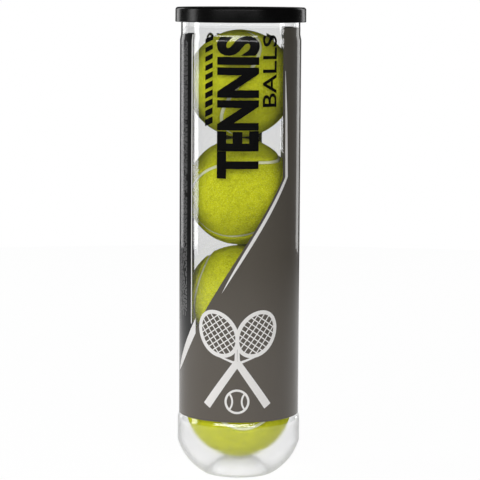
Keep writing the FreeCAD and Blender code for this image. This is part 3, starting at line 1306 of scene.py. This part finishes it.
@dataclass
class Label:
    """Printed film: window, side strips, sweeping lower field, lines, words and emblem."""

    tube: Tube
    low: float = from_frame("label_sleeve", Edge.LOW)
    top: float = from_frame("label_sleeve", Edge.TOP)
    lap: float = 90.3
    lap_lift: float = 0.012
    window_right: float = 44.4
    jog: float = 0.8
    jog_drop: float = 6.0
    neck_jog: float = 0.2
    sweep_start: float = -45.4
    sweep_low: float = 93.0
    sweep_slope: float = 1.03
    strip_right: float = -50.9
    strip_lean: float = 2.2
    strip_low: float = 94.2
    strip_top: float = 271.8
    strip_tip: float = -80.0
    strip_rise: float = 6.9
    line_left: float = 3.2
    line_right: float = 7.0
    line_drop: float = 2.6
    line_tops: tuple[Pair, ...] = ((-1.0, 64.0), (-0.6, 64.0), (2.2, 39.0))
    long_blade: Triple = (-16.4, -6.5, 3.9)
    short_blade_width: float = -9.5
    edge_line: float = 1.4
    edge_line_rise: float = 1.8
    blade_steps: int = 18
    column: int = 2
    bend_cut: float = 0.8
    words: tuple[Word, ...] = (
        Word("TENNIS", -22.4, 17.9, 186.0, 271.4, 0.045),
        Word("BALLS", 21.0, 35.8, 229.0, 271.8, 0.012),
    )

    def sweep_at(self, degree: float) -> float:
        """Height of the slanting top of the grey field at an angle."""
        return self.sweep_low + self.sweep_slope * (degree - self.sweep_start)

    def blade(self, tip: float, wide: float, side: float, width: float, power: int) -> Loop:
        """Outline of a white blade that runs along the sweep and narrows to a tip.

        Args:
            tip: angle of the tip.
            wide: angle where it is widest.
            side: height of its straight edge above the sweep.
            width: its full width, negative when it lies below the straight edge.
            power: how fast it reaches its full width.

        Returns:
            The outline, out along the straight edge and back along the other.
        """
        degrees = np.linspace(tip, wide, self.blade_steps)
        straight = [(d, self.sweep_at(d) + side) for d in degrees]
        shares = [1 - (1 - (d - tip) / (wide - tip)) ** power for d in degrees]
        other = [(d, y + width * share) for (d, y), share in zip(straight, shares)]
        return chain(straight, other[::-1])

    def right_edge(self) -> Loop:
        """Right-hand edge of the window, from the sweep up to the film's top.

        Returns:
            The points.
        """
        right, shoulder = self.window_right, self.tube.shoulder
        return [
            (right, self.sweep_at(right)),
            (right - self.jog, shoulder - self.jog_drop),
            (right + self.neck_jog, shoulder),
            (right + self.jog, self.top),
        ]

    def left_edge(self) -> Loop:
        """Left-hand edge of the window along the strip, from the top down."""
        return [(self.strip_right - self.strip_lean, self.strip_top), (self.strip_right, self.strip_low)]

    def grounds(self) -> dict[str, list[Print]]:
        """The window, the grey field and the black strip of one half of the artwork.

        Returns:
            The patches by the name of their piece.
        """
        lap, start = self.lap, (self.sweep_start, self.sweep_low)
        strip_foot = (-lap, self.strip_low - self.sweep_slope * (self.strip_right + lap))
        tip = (self.strip_tip, self.sweep_at(self.strip_tip) + self.strip_rise)
        right, left = self.right_edge(), self.left_edge()
        window = [*right, (-lap, self.top), (-lap, self.strip_top), *left, start]
        grey = [start, tip, strip_foot, (-lap, self.low), (lap, self.low), (lap, self.top), *right[::-1]]
        strip = [(-lap, self.strip_top), *left, strip_foot]
        patches = {"window": (window, "clear_film"), "grey_field": (grey, "grey_ink")}
        patches["black_strip"] = (strip, "black_ink")
        return {name: [Print([outline], ink, Layer.GROUND)] for name, (outline, ink) in patches.items()}

    def lines(self) -> list[Print]:
        """White lines along the window's edges.

        Returns:
            One patch per line.
        """
        left, right = self.window_right + self.line_left, self.window_right + self.line_right
        height = self.sweep_at(left) - self.line_drop
        tops = [(left + x, height + y) for x, y in self.line_tops]
        tip, side, width = self.long_blade
        outlines = [
            [*tops, (right, height), (left, height)],
            self.blade(tip, left, side, width, 6),
            [(left, height), (right, height), (left, height - width)],
            self.blade(self.strip_tip, self.sweep_start, self.strip_rise, self.short_blade_width, 3),
            rectangle(
                self.strip_right - self.edge_line, self.strip_right,
                self.strip_low + self.edge_line_rise, self.strip_top,
            ),
        ]
        return [Print([outline], "white_ink", Layer.LINES) for outline in outlines]

    def flat_mesh(self, prints: Sequence[Print], flip: int) -> bmesh.types.BMesh:
        """Lay patches out flat and cut them into narrow columns.

        Args:
            prints: patches of one ink.
            flip: -1 to mirror the patches left to right.

        Returns:
            The mesh, X in degrees and Y in millimetres, with each point's lift in a layer.
        """
        bm = bmesh.new()
        lift = bm.verts.layers.float.new("lift")
        for patch in prints:
            loops = flat_vectors([[(x * flip, y) for x, y in loop] for loop in patch.loops])
            corners = [corner for loop in loops for corner in loop]
            verts = [bm.verts.new(corner) for corner in corners]
            for vert in verts:
                vert[lift] = patch.lift
            for a, b, c in tessellate_polygon(loops):
                if (corners[b] - corners[a]).cross(corners[c] - corners[a]).length > SAME_POINT:
                    bm.faces.new((verts[a], verts[b], verts[c]))
        shoulder, neck_low = self.tube.shoulder, self.tube.neck_low
        cuts = [((degree, 0, 0), (1, 0, 0)) for degree in range(-90, 92, self.column)]
        bends = (shoulder, shoulder + self.bend_cut, neck_low - self.bend_cut, neck_low)
        cuts += [((0, height, 0), (0, 1, 0)) for height in bends]
        for spot, normal in cuts:
            geometry = bm.verts[:] + bm.edges[:] + bm.faces[:]
            bmesh.ops.bisect_plane(bm, geom=geometry, plane_co=spot, plane_no=normal)
        return bm

    def wrap(self, name: str, prints: Sequence[Print], finishes: Finishes, turn_by: float, flip: int) -> None:
        """Wrap prints of one ink round the tube as one piece.

        Args:
            name: the piece's name.
            prints: patches of one ink.
            finishes: the materials.
            turn_by: degrees that the patches are turned round the can.
            flip: -1 to mirror the patches left to right.
        """
        bm = self.flat_mesh(prints, flip)
        lift = bm.verts.layers.float["lift"]
        level = prints[0].layer.value + (self.lap_lift if turn_by else 0.0)
        for vert in bm.verts:
            angle = math.radians(vert.co.x + turn_by)
            radius = self.tube.radius_at(vert.co.y) + level + vert[lift]
            vert.co = Vector((radius * math.sin(angle), -radius * math.cos(angle), vert.co.y))
        bm.normal_update()
        for face in bm.faces:
            middle = face.calc_center_median()
            if face.normal.dot(Vector((middle.x, middle.y, 0))) < 0:
                face.normal_flip()
        bm.normal_update()
        piece = Piece(name, "can", "label_film", ("label_sleeve",))
        piece.place(bm, finishes[prints[0].ink])

    def build(self, finishes: Finishes) -> None:
        """Build the artwork twice, front and back, as one piece per ink and layer.

        The back is mirrored, so that both windows lie over each other, but for what reads.

        Args:
            finishes: the materials.
        """
        sets = self.grounds()
        sets["white_lines"] = self.lines()
        sets["small_print"] = SmallPrint().prints()
        sets["dark_marks"] = [patch for word in self.words for patch in word.prints()] + SlantBars().prints()
        sets["emblem"] = Emblem().prints(math.radians(self.tube.panel_r))
        for name, prints in sets.items():
            back_flip = 1 if name in ("dark_marks", "emblem") else -1
            self.wrap("label_%s_front" % name, prints, finishes, 0.0, 1)
            self.wrap("label_%s_back" % name, prints, finishes, 180.0, back_flip)


# ---- the metal end -------------------------------------------------------------------


@dataclass
class MetalEnd:
    """Rolled rim, sealing ring, tear panel with rivet, and the ring pull."""

    seam_r: float = from_frame("end_ring", Edge.SIDE)
    seam_top: float = from_frame("end_ring", Edge.TOP)
    foot: float = from_frame("end_ring", Edge.LOW)
    panel_r: float = from_frame("tear_panel", Edge.SIDE)
    seal_r: float = from_frame("seam_compound", Edge.SIDE)
    seal_low: float = from_frame("seam_compound", Edge.LOW)
    tab_low: float = from_frame("pull_tab", Edge.LOW)
    tab_end: float = from_frame("pull_tab", Edge.SIDE)
    sheet: float = 0.35
    foot_drop: float = 0.3
    seam_tall: float = 3.2
    hook_r: float = 36.75
    chuck_r: float = 35.75
    step: float = 0.4
    step_slope: float = 0.15
    score_gap: float = 0.3
    fillet: float = 0.3
    seal_inner_r: float = 35.85
    seal_inset: float = 0.03
    seal_tall: float = 0.48
    seal_segments: int = 96
    recess: float = 0.7
    recess_edges: Pair = (14.9, 13.5)
    bead: float = 0.3
    bead_edges: tuple[float, float, float, float] = (5.3, 4.4, 3.5, 2.6)
    score_steps: tuple[Pair, ...] = ((0.5, 0.0), (0.35, 0.08), (0.0, 0.1))
    rivet_x: float = 25.0
    rivet_foot: tuple[Pair, ...] = ((0.0, -0.1), (1.9, -0.1), (1.5, 0.25))
    rivet_head: tuple[Pair, ...] = (
        (1.5, 0.0), (2.35, 0.0), (2.4, 0.45), (2.05, 0.76), (1.2, 0.8), (0.8, 0.62), (0.0, 0.6),
    )
    head_above_tab: float = 0.55
    ring_x: float = 13.5
    ring_r: float = 9.5
    nose_r: float = 4.6
    curl: float = 0.58
    curl_inset: float = 0.6
    web: Pair = (-0.25, 0.2)
    hole_r: float = 7.0
    hole_curl_r: float = 7.15
    hole_curl: float = 0.5
    window: tuple[float, float, float, float] = (21.9, 29.05, -3.3, 3.3)
    tongue: tuple[float, float, float, float] = (22.2, 28.6, -2.85, 2.85)
    tongue_sheet: float = 0.5
    tongue_hole_r: float = 1.56
    collar: Pair = (1.6, 2.45)
    segments: int = 144

    @property
    def panel_top(self) -> float:
        """Height of the panel's upper face."""
        return self.foot + self.foot_drop + self.sheet

    def rim(self) -> Loop:
        """Closed section of the rolled rim.

        Returns:
            The points, with rounded corners.
        """
        sheet, high, low = self.sheet, self.panel_top, self.panel_top - self.sheet
        inner, mouth = self.chuck_r - self.sheet, self.panel_r + self.score_gap
        top, hem = self.seam_top, self.seam_top - self.seam_tall
        corners = [
            (self.hook_r, hem),
            (self.seam_r, hem),
            (self.seam_r, top),
            (inner, top),
            (inner, low + 0.05),
            (inner - self.step, low + 0.05),
            (inner - self.step - self.step_slope, high),
            (mouth, high),
            (mouth, low),
            (inner - 2 * self.step, low),
            (inner - 2 * self.step + self.step_slope, self.foot),
            (self.chuck_r, self.foot),
            (self.chuck_r, top - sheet),
            (self.seam_r - sheet, top - sheet),
            (self.seam_r - sheet, hem + sheet),
            (self.hook_r, hem + sheet),
        ]
        return rounded(corners, self.fillet, 3)

    def panel(self) -> Loop:
        """Upper face of the tear panel with its recess and bead.

        Returns:
            The points, from the centre out.
        """
        high, edge = self.panel_top, self.panel_r
        sunk, level = (edge - back for back in self.recess_edges)
        corners = [(0.0, high - self.recess), (sunk, high - self.recess), (level, high)]
        rises = (0.0, self.bead, self.bead, 0.0)
        corners += [(edge - back, high + rise) for back, rise in zip(self.bead_edges, rises)]
        corners += [(edge - back, high - drop) for back, drop in self.score_steps]
        return divided(rounded(corners, 0.7, 4, False), 3.0)

    def build_rim(self, finishes: Finishes) -> None:
        """Build the rolled rim and the sealing ring inside it.

        Args:
            finishes: the materials.
        """
        piece = Piece("rolled_rim", "can", "end_metal", ("end_ring",))
        piece.place(turn(self.rim(), self.segments), finishes["end_metal"])
        inset = self.seal_inset
        inner, outer, low = self.seal_inner_r + inset, self.seal_r - inset, self.seal_low + inset
        section = rounded(rectangle(inner, outer, low, low + self.seal_tall), 0.2, 3)
        piece = Piece("sealing_ring", "can", "sealing_rubber", ("seam_compound",))
        piece.place(turn(section, self.seal_segments), finishes["sealing_rubber"])

    def build_panel(self, finishes: Finishes) -> None:
        """Build the tear panel with its formed rivet.

        Args:
            finishes: the materials.
        """
        top = self.panel()
        under = [(radius, height - self.sheet) for radius, height in top]
        bm = turn(chain(top, under[::-1]), self.segments, closed=False)
        head_low = self.tab_low + self.head_above_tab
        rivet = [(radius, self.panel_top + up) for radius, up in self.rivet_foot]
        rivet += [(radius, head_low + up) for radius, up in self.rivet_head]
        add_to(bm, turn(rounded(rivet, 0.15, 3, False), 40, closed=False), (self.rivet_x, 0, 0))
        piece = Piece("tear_panel_sheet", "tear_panel", "end_metal", ("tear_panel",))
        piece.place(bm, finishes["end_metal"])

    def tab_edge(self) -> Loop:
        """Middle line of the ring pull's curled edge.

        Returns:
            The points: round the ring, along one flank, round the nose and back along the other.
        """
        nose_x = self.tab_end - self.nose_r
        angle = math.acos((self.ring_r - self.nose_r) / (nose_x - self.ring_x))
        ring, nose = self.ring_r - self.curl_inset, self.nose_r - self.curl_inset
        back = [on_circle((self.ring_x, 0), ring, t) for t in np.linspace(angle, FULL_TURN - angle, 44)]
        front = [on_circle((nose_x, 0), nose, t) for t in np.linspace(-angle, angle, 22)]
        return chain(back, run(back[-1], front[0], 8), front, run(front[-1], back[0], 8)[:-1])

    def build_tab(self, finishes: Finishes) -> None:
        """Build the ring pull with its curled edges.

        Args:
            finishes: the materials.
        """
        middle = self.tab_low + self.curl_inset
        ring = (self.ring_x, 0.0)
        edge = self.tab_edge()
        holes = [circle(self.hole_r, 56, ring)[::-1], rounded(rectangle(*self.window), 0.8, 5)[::-1]]
        bm = plate(edge, holes, middle + self.web[0], middle + self.web[1])
        add_to(bm, sweep(edge, middle, self.curl))
        add_to(bm, sweep(circle(self.hole_curl_r, 56, ring), middle, self.hole_curl))
        piece = Piece("ring_pull", "pull_tab", "tab_metal", ("pull_tab",))
        piece.place(bm, finishes["tab_metal"])

    def build_tongue(self, finishes: Finishes) -> None:
        """Build the riveted tongue with the collar that it stands on.

        Args:
            finishes: the materials.
        """
        outline = rounded(rectangle(*self.tongue), 0.7, 5)
        hole = circle(self.tongue_hole_r, 32, (self.rivet_x, 0.0))[::-1]
        bm = plate(outline, [hole], self.tab_low, self.tab_low + self.tongue_sheet)
        collar = rectangle(*self.collar, self.panel_top + 0.06, self.tab_low + 0.05)
        add_to(bm, turn(collar, 32), (self.rivet_x, 0, 0))
        piece = Piece("riveted_tongue", "tear_panel", "tab_metal", ("tab_tongue",))
        piece.place(bm, finishes["tab_metal"], smooth=False)

    def build(self, finishes: Finishes) -> None:
        """Build the whole end.

        Args:
            finishes: the materials.
        """
        self.build_rim(finishes)
        self.build_panel(finishes)
        self.build_tab(finishes)
        self.build_tongue(finishes)


# ---- the lid -------------------------------------------------------------------------


@dataclass
class Lid:
    """Black press-on lid with a bead inside its skirt and a shallow recess in its roof."""

    outer_r: float = from_frame("overcap", Edge.SIDE)
    low: float = from_frame("overcap", Edge.LOW)
    top: float = from_frame("overcap", Edge.TOP)
    wall: float = 1.1
    roof: float = 1.2
    lip: float = 0.02
    lip_fillet: Pair = (0.12, 0.5)
    draft: float = 0.05
    shoulder: float = 1.0
    bead_up: float = 2.6
    bead_rise: float = 0.4
    bead_foot: float = 0.9
    bead_face: Pair = (-0.2, 0.3)
    rim: float = 4.0
    rim_slope: float = 0.5
    recess: float = 0.4
    mould_ring: tuple[Pair, ...] = ((12.6, 0.0), (12.3, 0.12), (11.7, 0.12), (11.4, 0.0))
    gate_mark: tuple[Pair, ...] = ((1.8, 0.0), (1.3, -0.15), (0.0, -0.15))
    longest_run: float = 4.0
    segments: int = 160

    def section(self) -> Loop:
        """Section of the lid.

        Returns:
            The points, from the middle of the roof's underside round the skirt to the roof's top.
        """
        outer, inner, foot = self.outer_r, self.outer_r - self.wall, self.low + self.lip
        bead, bead_r = self.low + self.bead_up, self.outer_r - self.wall - self.bead_rise
        floor, recess_r = self.top - self.recess, self.outer_r - self.rim
        roof_low = self.top - self.roof
        corners = [
            (0, roof_low),
            (inner, roof_low),
            (inner, bead + self.bead_foot),
            (bead_r, bead + self.bead_face[1]),
            (bead_r, bead + self.bead_face[0]),
            (inner, bead - self.bead_foot),
            (inner, foot),
            (outer - self.lip_fillet[0], foot),
            (outer, self.low + self.lip_fillet[1]),
            (outer - self.draft, self.top - self.shoulder),
            (outer - self.shoulder, self.top),
            (recess_r, self.top),
            (recess_r - self.rim_slope, floor),
        ]
        corners += [(radius, floor + up) for radius, up in (*self.mould_ring, *self.gate_mark)]
        return rounded(corners, 0.5, 5, False)

    def build(self, finishes: Finishes) -> None:
        """Build and dress the lid.

        Args:
            finishes: the materials.
        """
        piece = Piece("lid", "overcap", "cap_plastic", ("overcap",))
        outline = divided(self.section(), self.longest_run)
        piece.place(turn(outline, self.segments, closed=False), finishes["cap_plastic"])


# ---- the balls -----------------------------------------------------------------------


@dataclass
class Ball:
    """One felt ball: two dumbbell panels and the seam strip sunk between them."""

    name: str
    turns: Triple
    order: int
    radius: float = 33.1
    shape: float = 0.75
    nap: float = 0.32
    tufts: tuple[Pair, ...] = ((0.16, 34.0), (0.10, 80.0), (0.14, 6.0))
    groove: float = 1.9
    groove_half: float = 1.2
    swell: float = 0.12
    swell_out: float = 2.7
    swell_half: float = 1.1
    cells: int = 78
    strip: tuple[Pair, ...] = (
        (-1.2, -2.3), (-1.1, -1.15), (-0.65, -0.88), (0.0, -0.8), (0.65, -0.88), (1.1, -1.15), (1.2, -2.3),
    )

    def seam_line(self, count: int) -> tuple[np.ndarray, np.ndarray]:
        """Middle line of the seam on a unit ball.

        Args:
            count: number of points.

        Returns:
            Unit vectors along the line, and unit vectors across it.
        """
        t = np.linspace(0, FULL_TURN, count, endpoint=False)
        a, b = self.shape, 1 - self.shape
        x, y = a * np.cos(t) + b * np.cos(3 * t), a * np.sin(t) - b * np.sin(3 * t)
        line = unit(np.stack([x, y, 2 * math.sqrt(a * b) * np.sin(2 * t)], -1))
        ahead = np.roll(line, -1, 0) - np.roll(line, 1, 0)
        return line, unit(np.cross(line, ahead))

    def globe(self) -> tuple[np.ndarray, np.ndarray]:
        """Even unit globe made of six gridded sides.

        Returns:
            The points and the four-cornered faces.
        """
        n = self.cells
        spread = np.tan(np.linspace(-math.pi / 4, math.pi / 4, n + 1))
        u, v = np.meshgrid(spread, spread, indexing="ij")
        one = np.ones_like(u)
        sides = [(one, u, v), (-one, -u, v), (-u, one, v), (u, -one, v), (u, v, one), (u, -v, -one)]
        points = unit(np.concatenate([np.stack(side, -1).reshape(-1, 3) for side in sides]))
        cell = np.arange(n * (n + 1)).reshape(n, n + 1)[:, :n].ravel()
        quad = np.stack([cell, cell + n + 1, cell + n + 2, cell + 1], -1)
        faces = np.concatenate([quad + k * (n + 1) ** 2 for k in range(len(sides))])
        keys = np.round(points / (0.1 * SAME_POINT)).astype(np.int64)
        _, first, back = np.unique(keys, axis=0, return_index=True, return_inverse=True)
        return points[first], back.ravel()[faces]

    def measure(self, points: np.ndarray) -> tuple[np.ndarray, np.ndarray]:
        """Measure points of the unit globe against the seam.

        Args:
            points: unit vectors.

        Returns:
            Their distances to the seam in millimetres, and the side of it that each is on, 1 or -1.
        """
        line, across = self.seam_line(720)
        nearest = np.concatenate([np.argmax(part @ line.T, 1) for part in np.array_split(points, 12)])
        apart = np.linalg.norm(points - line[nearest], axis=1) * self.radius
        return apart, np.sign(np.einsum("ij,ij->i", points, across[nearest]))

    def middle(self) -> Vector:
        """Centre of the ball, from the boxes of its felt panels.

        Returns:
            The centre in millimetres, to a hundredth.
        """
        boxes = [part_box("%s_felt_%s" % (self.name, letter)) for letter in "ab"]
        low, high = min(box[0].z for box in boxes), max(box[1].z for box in boxes)
        return Vector((0, 0, round((low + high) / 2 / MM, 2)))

    def placing(self) -> Matrix:
        """Turn and lift of the ball, in millimetres."""
        yaw, pitch, roll = (math.radians(angle) for angle in self.turns)
        return Matrix.Translation(self.middle()) @ Euler((roll, pitch, yaw), "XYZ").to_matrix().to_4x4()

    def tuft_height(self, spot: Vector, offset: Vector) -> float:
        """Height of the felt's tufts at a point of the unit globe, from this ball's offset."""
        return sum(high * noise.noise(spot * fine + offset) for high, fine in self.tufts)

    def felt_radii(self, points: np.ndarray, apart: np.ndarray) -> np.ndarray:
        """Distance of the felt's surface from the centre, with tufts and the groove.

        Args:
            points: unit vectors of the surface.
            apart: their distances to the seam.

        Returns:
            The distances, in millimetres.
        """
        offset = Vector((17.0 * self.order, 5.0, 9.0))
        nap = np.array([self.tuft_height(Vector(point), offset) for point in points])
        edge = np.exp(-((apart / self.groove_half) ** 2))
        swell = self.swell * np.exp(-(((apart - self.swell_out) / self.swell_half) ** 2))
        return self.radius - self.nap + nap * (1 - edge) + swell - self.groove * edge

    def node_near(self, direction: Vector) -> str:
        """Felt node whose box lies towards a direction from the ball's middle.

        Args:
            direction: the direction.

        Returns:
            The node's name.
        """
        reaches = {}
        for node in ("%s_felt_%s" % (self.name, letter) for letter in "ab"):
            low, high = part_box(node)
            reaches[node] = ((low + high) / 2 / MM - self.middle()).dot(direction)
        return max(reaches, key=reaches.get)

    def build_felt(self, finishes: Finishes) -> None:
        """Build both felt panels with tufts and the groove along the seam.

        Args:
            finishes: the materials.
        """
        points, faces = self.globe()
        apart, side = self.measure(points)
        surface = points * self.felt_radii(points, apart)[:, None]
        place = self.placing()
        sides = side[faces].sum(1)
        for letter, chosen in (("a", faces[sides > 0]), ("b", faces[sides <= 0])):
            used, local = np.unique(chosen, return_inverse=True)
            mesh = bpy.data.meshes.new("felt")
            mesh.from_pydata(surface[used].tolist(), [], local.reshape(-1, 4).tolist())
            bm = bmesh.new()
            bm.from_mesh(mesh)
            bpy.data.meshes.remove(mesh)
            bmesh.ops.transform(bm, matrix=place, verts=bm.verts)
            towards = place.to_3x3() @ Vector(points[used].mean(0)).normalized()
            node = self.node_near(towards)
            piece = Piece("%s_panel_%s" % (self.name, letter), self.name, "ball_felt", (node,))
            piece.place(bm, finishes["ball_felt"])

    def build_seam(self, finishes: Finishes) -> None:
        """Build the seam strip as a closed band with a slightly domed face.

        Args:
            finishes: the materials.
        """
        bm = bmesh.new()
        rings = []
        for spot, out in zip(*self.seam_line(360)):
            ring = []
            for across, rise in self.strip:
                angle = across / self.radius
                towards = Vector(spot * math.cos(angle) + out * math.sin(angle))
                ring.append(bm.verts.new(towards * (self.radius + rise)))
            rings.append(ring)
        skin_rings(bm, rings)
        bmesh.ops.transform(bm, matrix=self.placing(), verts=bm.verts)
        piece = Piece("%s_seam_strip" % self.name, self.name, "seam_glue", ("%s_seam" % self.name,))
        piece.place(bm, finishes["seam_glue"])

    def dress_core(self, finishes: Finishes) -> None:
        """Give the two hidden rubber halves their finish.

        Args:
            finishes: the materials.
        """
        for half in ("core_lower", "core_upper"):
            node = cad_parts["%s_%s" % (self.name, half)]
            node.data.materials.clear()
            node.data.materials.append(finishes["core_rubber"])

    def build(self, finishes: Finishes) -> None:
        """Build and dress the whole ball.

        Args:
            finishes: the materials.
        """
        self.build_felt(finishes)
        self.build_seam(finishes)
        self.dress_core(finishes)


def unit(vectors: np.ndarray) -> np.ndarray:
    """Vectors brought to length 1."""
    return vectors / np.linalg.norm(vectors, axis=1)[:, None]


@dataclass
class Stack:
    """The four balls, from the bottom one up, each with its yaw, pitch and roll in degrees."""

    turns: tuple[Triple, ...] = (
        (148.8, 21.8, -142.3), (-57.8, 11.4, -164.3), (92.8, -52.2, 73.8), (-2.2, 37.7, -4.5),
    )

    def build(self, finishes: Finishes) -> None:
        """Build every ball."""
        for order, turns in enumerate(self.turns, start=1):
            Ball("ball_%d" % order, turns, order).build(finishes)


# ---- the studio ----------------------------------------------------------------------


@dataclass(frozen=True)
class SoftLight:
    """A rectangular soft light: its place and size in metres, and its power in watts."""

    name: str
    place: Triple
    size: Pair
    power: float

    def build(self, aim: Vector) -> None:
        """Add the light.

        Args:
            aim: the point that it faces.
        """
        data = bpy.data.lights.new(self.name, "AREA")
        data.shape = "RECTANGLE"
        data.size, data.size_y = self.size
        data.energy = self.power
        light = bpy.data.objects.new(self.name, data)
        light.location = self.place
        light.rotation_euler = (aim - light.location).to_track_quat("-Z", "Y").to_euler()
        bpy.context.scene.collection.objects.link(light)


@dataclass
class Studio:
    """White table and surround, soft lights and the camera, with lengths in metres."""

    camera_place: Triple = (0.0003, -1.3044, 0.3019)
    pitch_down: float = 6.87
    roll: float = 0.34
    lens: float = 159.26
    aim: Triple = (0.0, 0.0, 0.14)
    room: Colour = (0.045, 0.045, 0.045)
    white: Colour = (1.0, 1.0, 1.0)
    table_r: float = 1.15
    # The table fields below also set the painted pool of light round the can: how far it reaches, the dark
    # colour beyond it and its glow in mirrored rays.
    table_drop: float = 0.00005
    pool_core: float = 0.35
    table_dark: Colour = (0.06, 0.06, 0.06)
    table_low: Colour = (0.80, 0.80, 0.80)
    table_high: Colour = (0.82, 0.82, 0.82)
    table_seen: float = 0.97
    pool_glow_mirrored: float = 0.5
    lights: tuple[SoftLight, ...] = (
        SoftLight("front_strip", (-0.2, -1.5, 0.67), (2.6, 0.24), 13.0),
        SoftLight("front_top", (0.0, -1.2, 1.5), (2.0, 1.0), 4.0),
        SoftLight("left_light", (-1.2, 0.05, 0.4), (0.3, 1.0), 4.5),
        SoftLight("left_rim", (-0.75, 1.0, 0.4), (0.35, 1.0), 2.0),
        SoftLight("right_rim", (0.75, 1.0, 0.4), (0.35, 1.0), 2.0),
    )

    def straight_view(self, graph: Graph) -> Socket:
        """Mask of what is seen directly or straight through clear walls, without a mirror bounce.

        Args:
            graph: the surround's or the table's graph.

        Returns:
            A socket that is 1 for a straight view and 0 otherwise.
        """
        rays = graph.node("ShaderNodeLightPath").outputs
        unmirrored = graph.maths("LESS_THAN", rays["Glossy Depth"], 0.5)
        through = graph.maths("MULTIPLY", rays["Is Transmission Ray"], unmirrored)
        return graph.maths("MAXIMUM", rays["Is Camera Ray"], through)

    def build_table(self) -> None:
        """Add the white table top with a painted pool of light round the can: in mirrored and bounced rays
        its glow and colour fade from pale near the can to dark further out.
        """
        bm = bmesh.new()
        bmesh.ops.create_circle(bm, cap_ends=True, segments=96, radius=self.table_r / MM)
        bmesh.ops.translate(bm, vec=(0, 0, -self.table_drop / MM), verts=bm.verts)
        table = to_object("table_top", bm, smooth=False)
        coat = start_material("table_white")
        graph = coat.graph
        texture = graph.put(graph.node("ShaderNodeTexNoise"), Vector=coat.place, Scale=3.0)
        pale = graph.mix(texture.outputs["Fac"], self.table_low, self.table_high)
        # Painted pool of light: this mask is 1 near the can and 0 at the table's edge; it drives the painted
        # glow in mirrored rays, while straight views see the table evenly white.
        reach = graph.vector_maths("LENGTH", coat.place).outputs["Value"]
        near = graph.fade(reach, self.table_r, self.pool_core * self.table_r)
        seen = self.straight_view(graph)
        glow = graph.spread(seen, graph.spread(near, 0.0, self.pool_glow_mirrored), self.table_seen)
        # Painted pool of light in the table's colour: pale near the can, dark further out, in all but
        # straight views.
        painted_pool = graph.maths("SUBTRACT", near, seen, clamp=True)
        graph.put(coat.shader, Base_Color=graph.mix(painted_pool, self.table_dark, pale), Roughness=0.9)
        graph.put(coat.shader, Specular_IOR_Level=0.0, Emission_Color=self.white, Emission_Strength=glow)
        table.data.materials.append(graph.material)

    def build_surround(self) -> None:
        """Light the scene evenly from a white surround."""
        world = bpy.data.worlds.new("white_surround")
        world.use_nodes = True
        graph = Graph(world.node_tree)
        tone = graph.mix(self.straight_view(graph), self.room, self.white)
        graph.put(world.node_tree.nodes["Background"], Color=tone, Strength=1.0)
        bpy.context.scene.world = world

    def build_camera(self) -> None:
        """Add the camera."""
        data = bpy.data.cameras.new("camera")
        data.lens = self.lens
        data.sensor_width = 36.0
        data.clip_start, data.clip_end = 0.05, 50.0
        camera = bpy.data.objects.new("camera", data)
        look = Euler((math.radians(90 - self.pitch_down), 0, 0)).to_matrix().to_4x4()
        tilt = Matrix.Rotation(math.radians(self.roll), 4, "Z")
        camera.matrix_world = Matrix.Translation(self.camera_place) @ look @ tilt
        bpy.context.scene.collection.objects.link(camera)
        bpy.context.scene.camera = camera

    def build(self) -> None:
        """Build the studio."""
        self.build_table()
        self.build_surround()
        for light in self.lights:
            light.build(Vector(self.aim))
        self.build_camera()
        bpy.context.scene.view_settings.view_transform = "Standard"


def main() -> None:
    """Build the can piece by piece, then the studio."""
    logging.basicConfig(level=logging.INFO, format="%(message)s")
    finishes = Finishes()
    tube = Tube()
    builders: dict[str, Callable[[Finishes], None]] = {
        "tube": tube.build,
        "label": Label(tube).build,
        "metal end": MetalEnd().build,
        "lid": Lid().build,
        "balls": Stack().build,
    }
    for name, build in builders.items():
        log.info("building the %s", name)
        build(finishes)
    Studio().build()


if __name__ == "__main__":
    main()
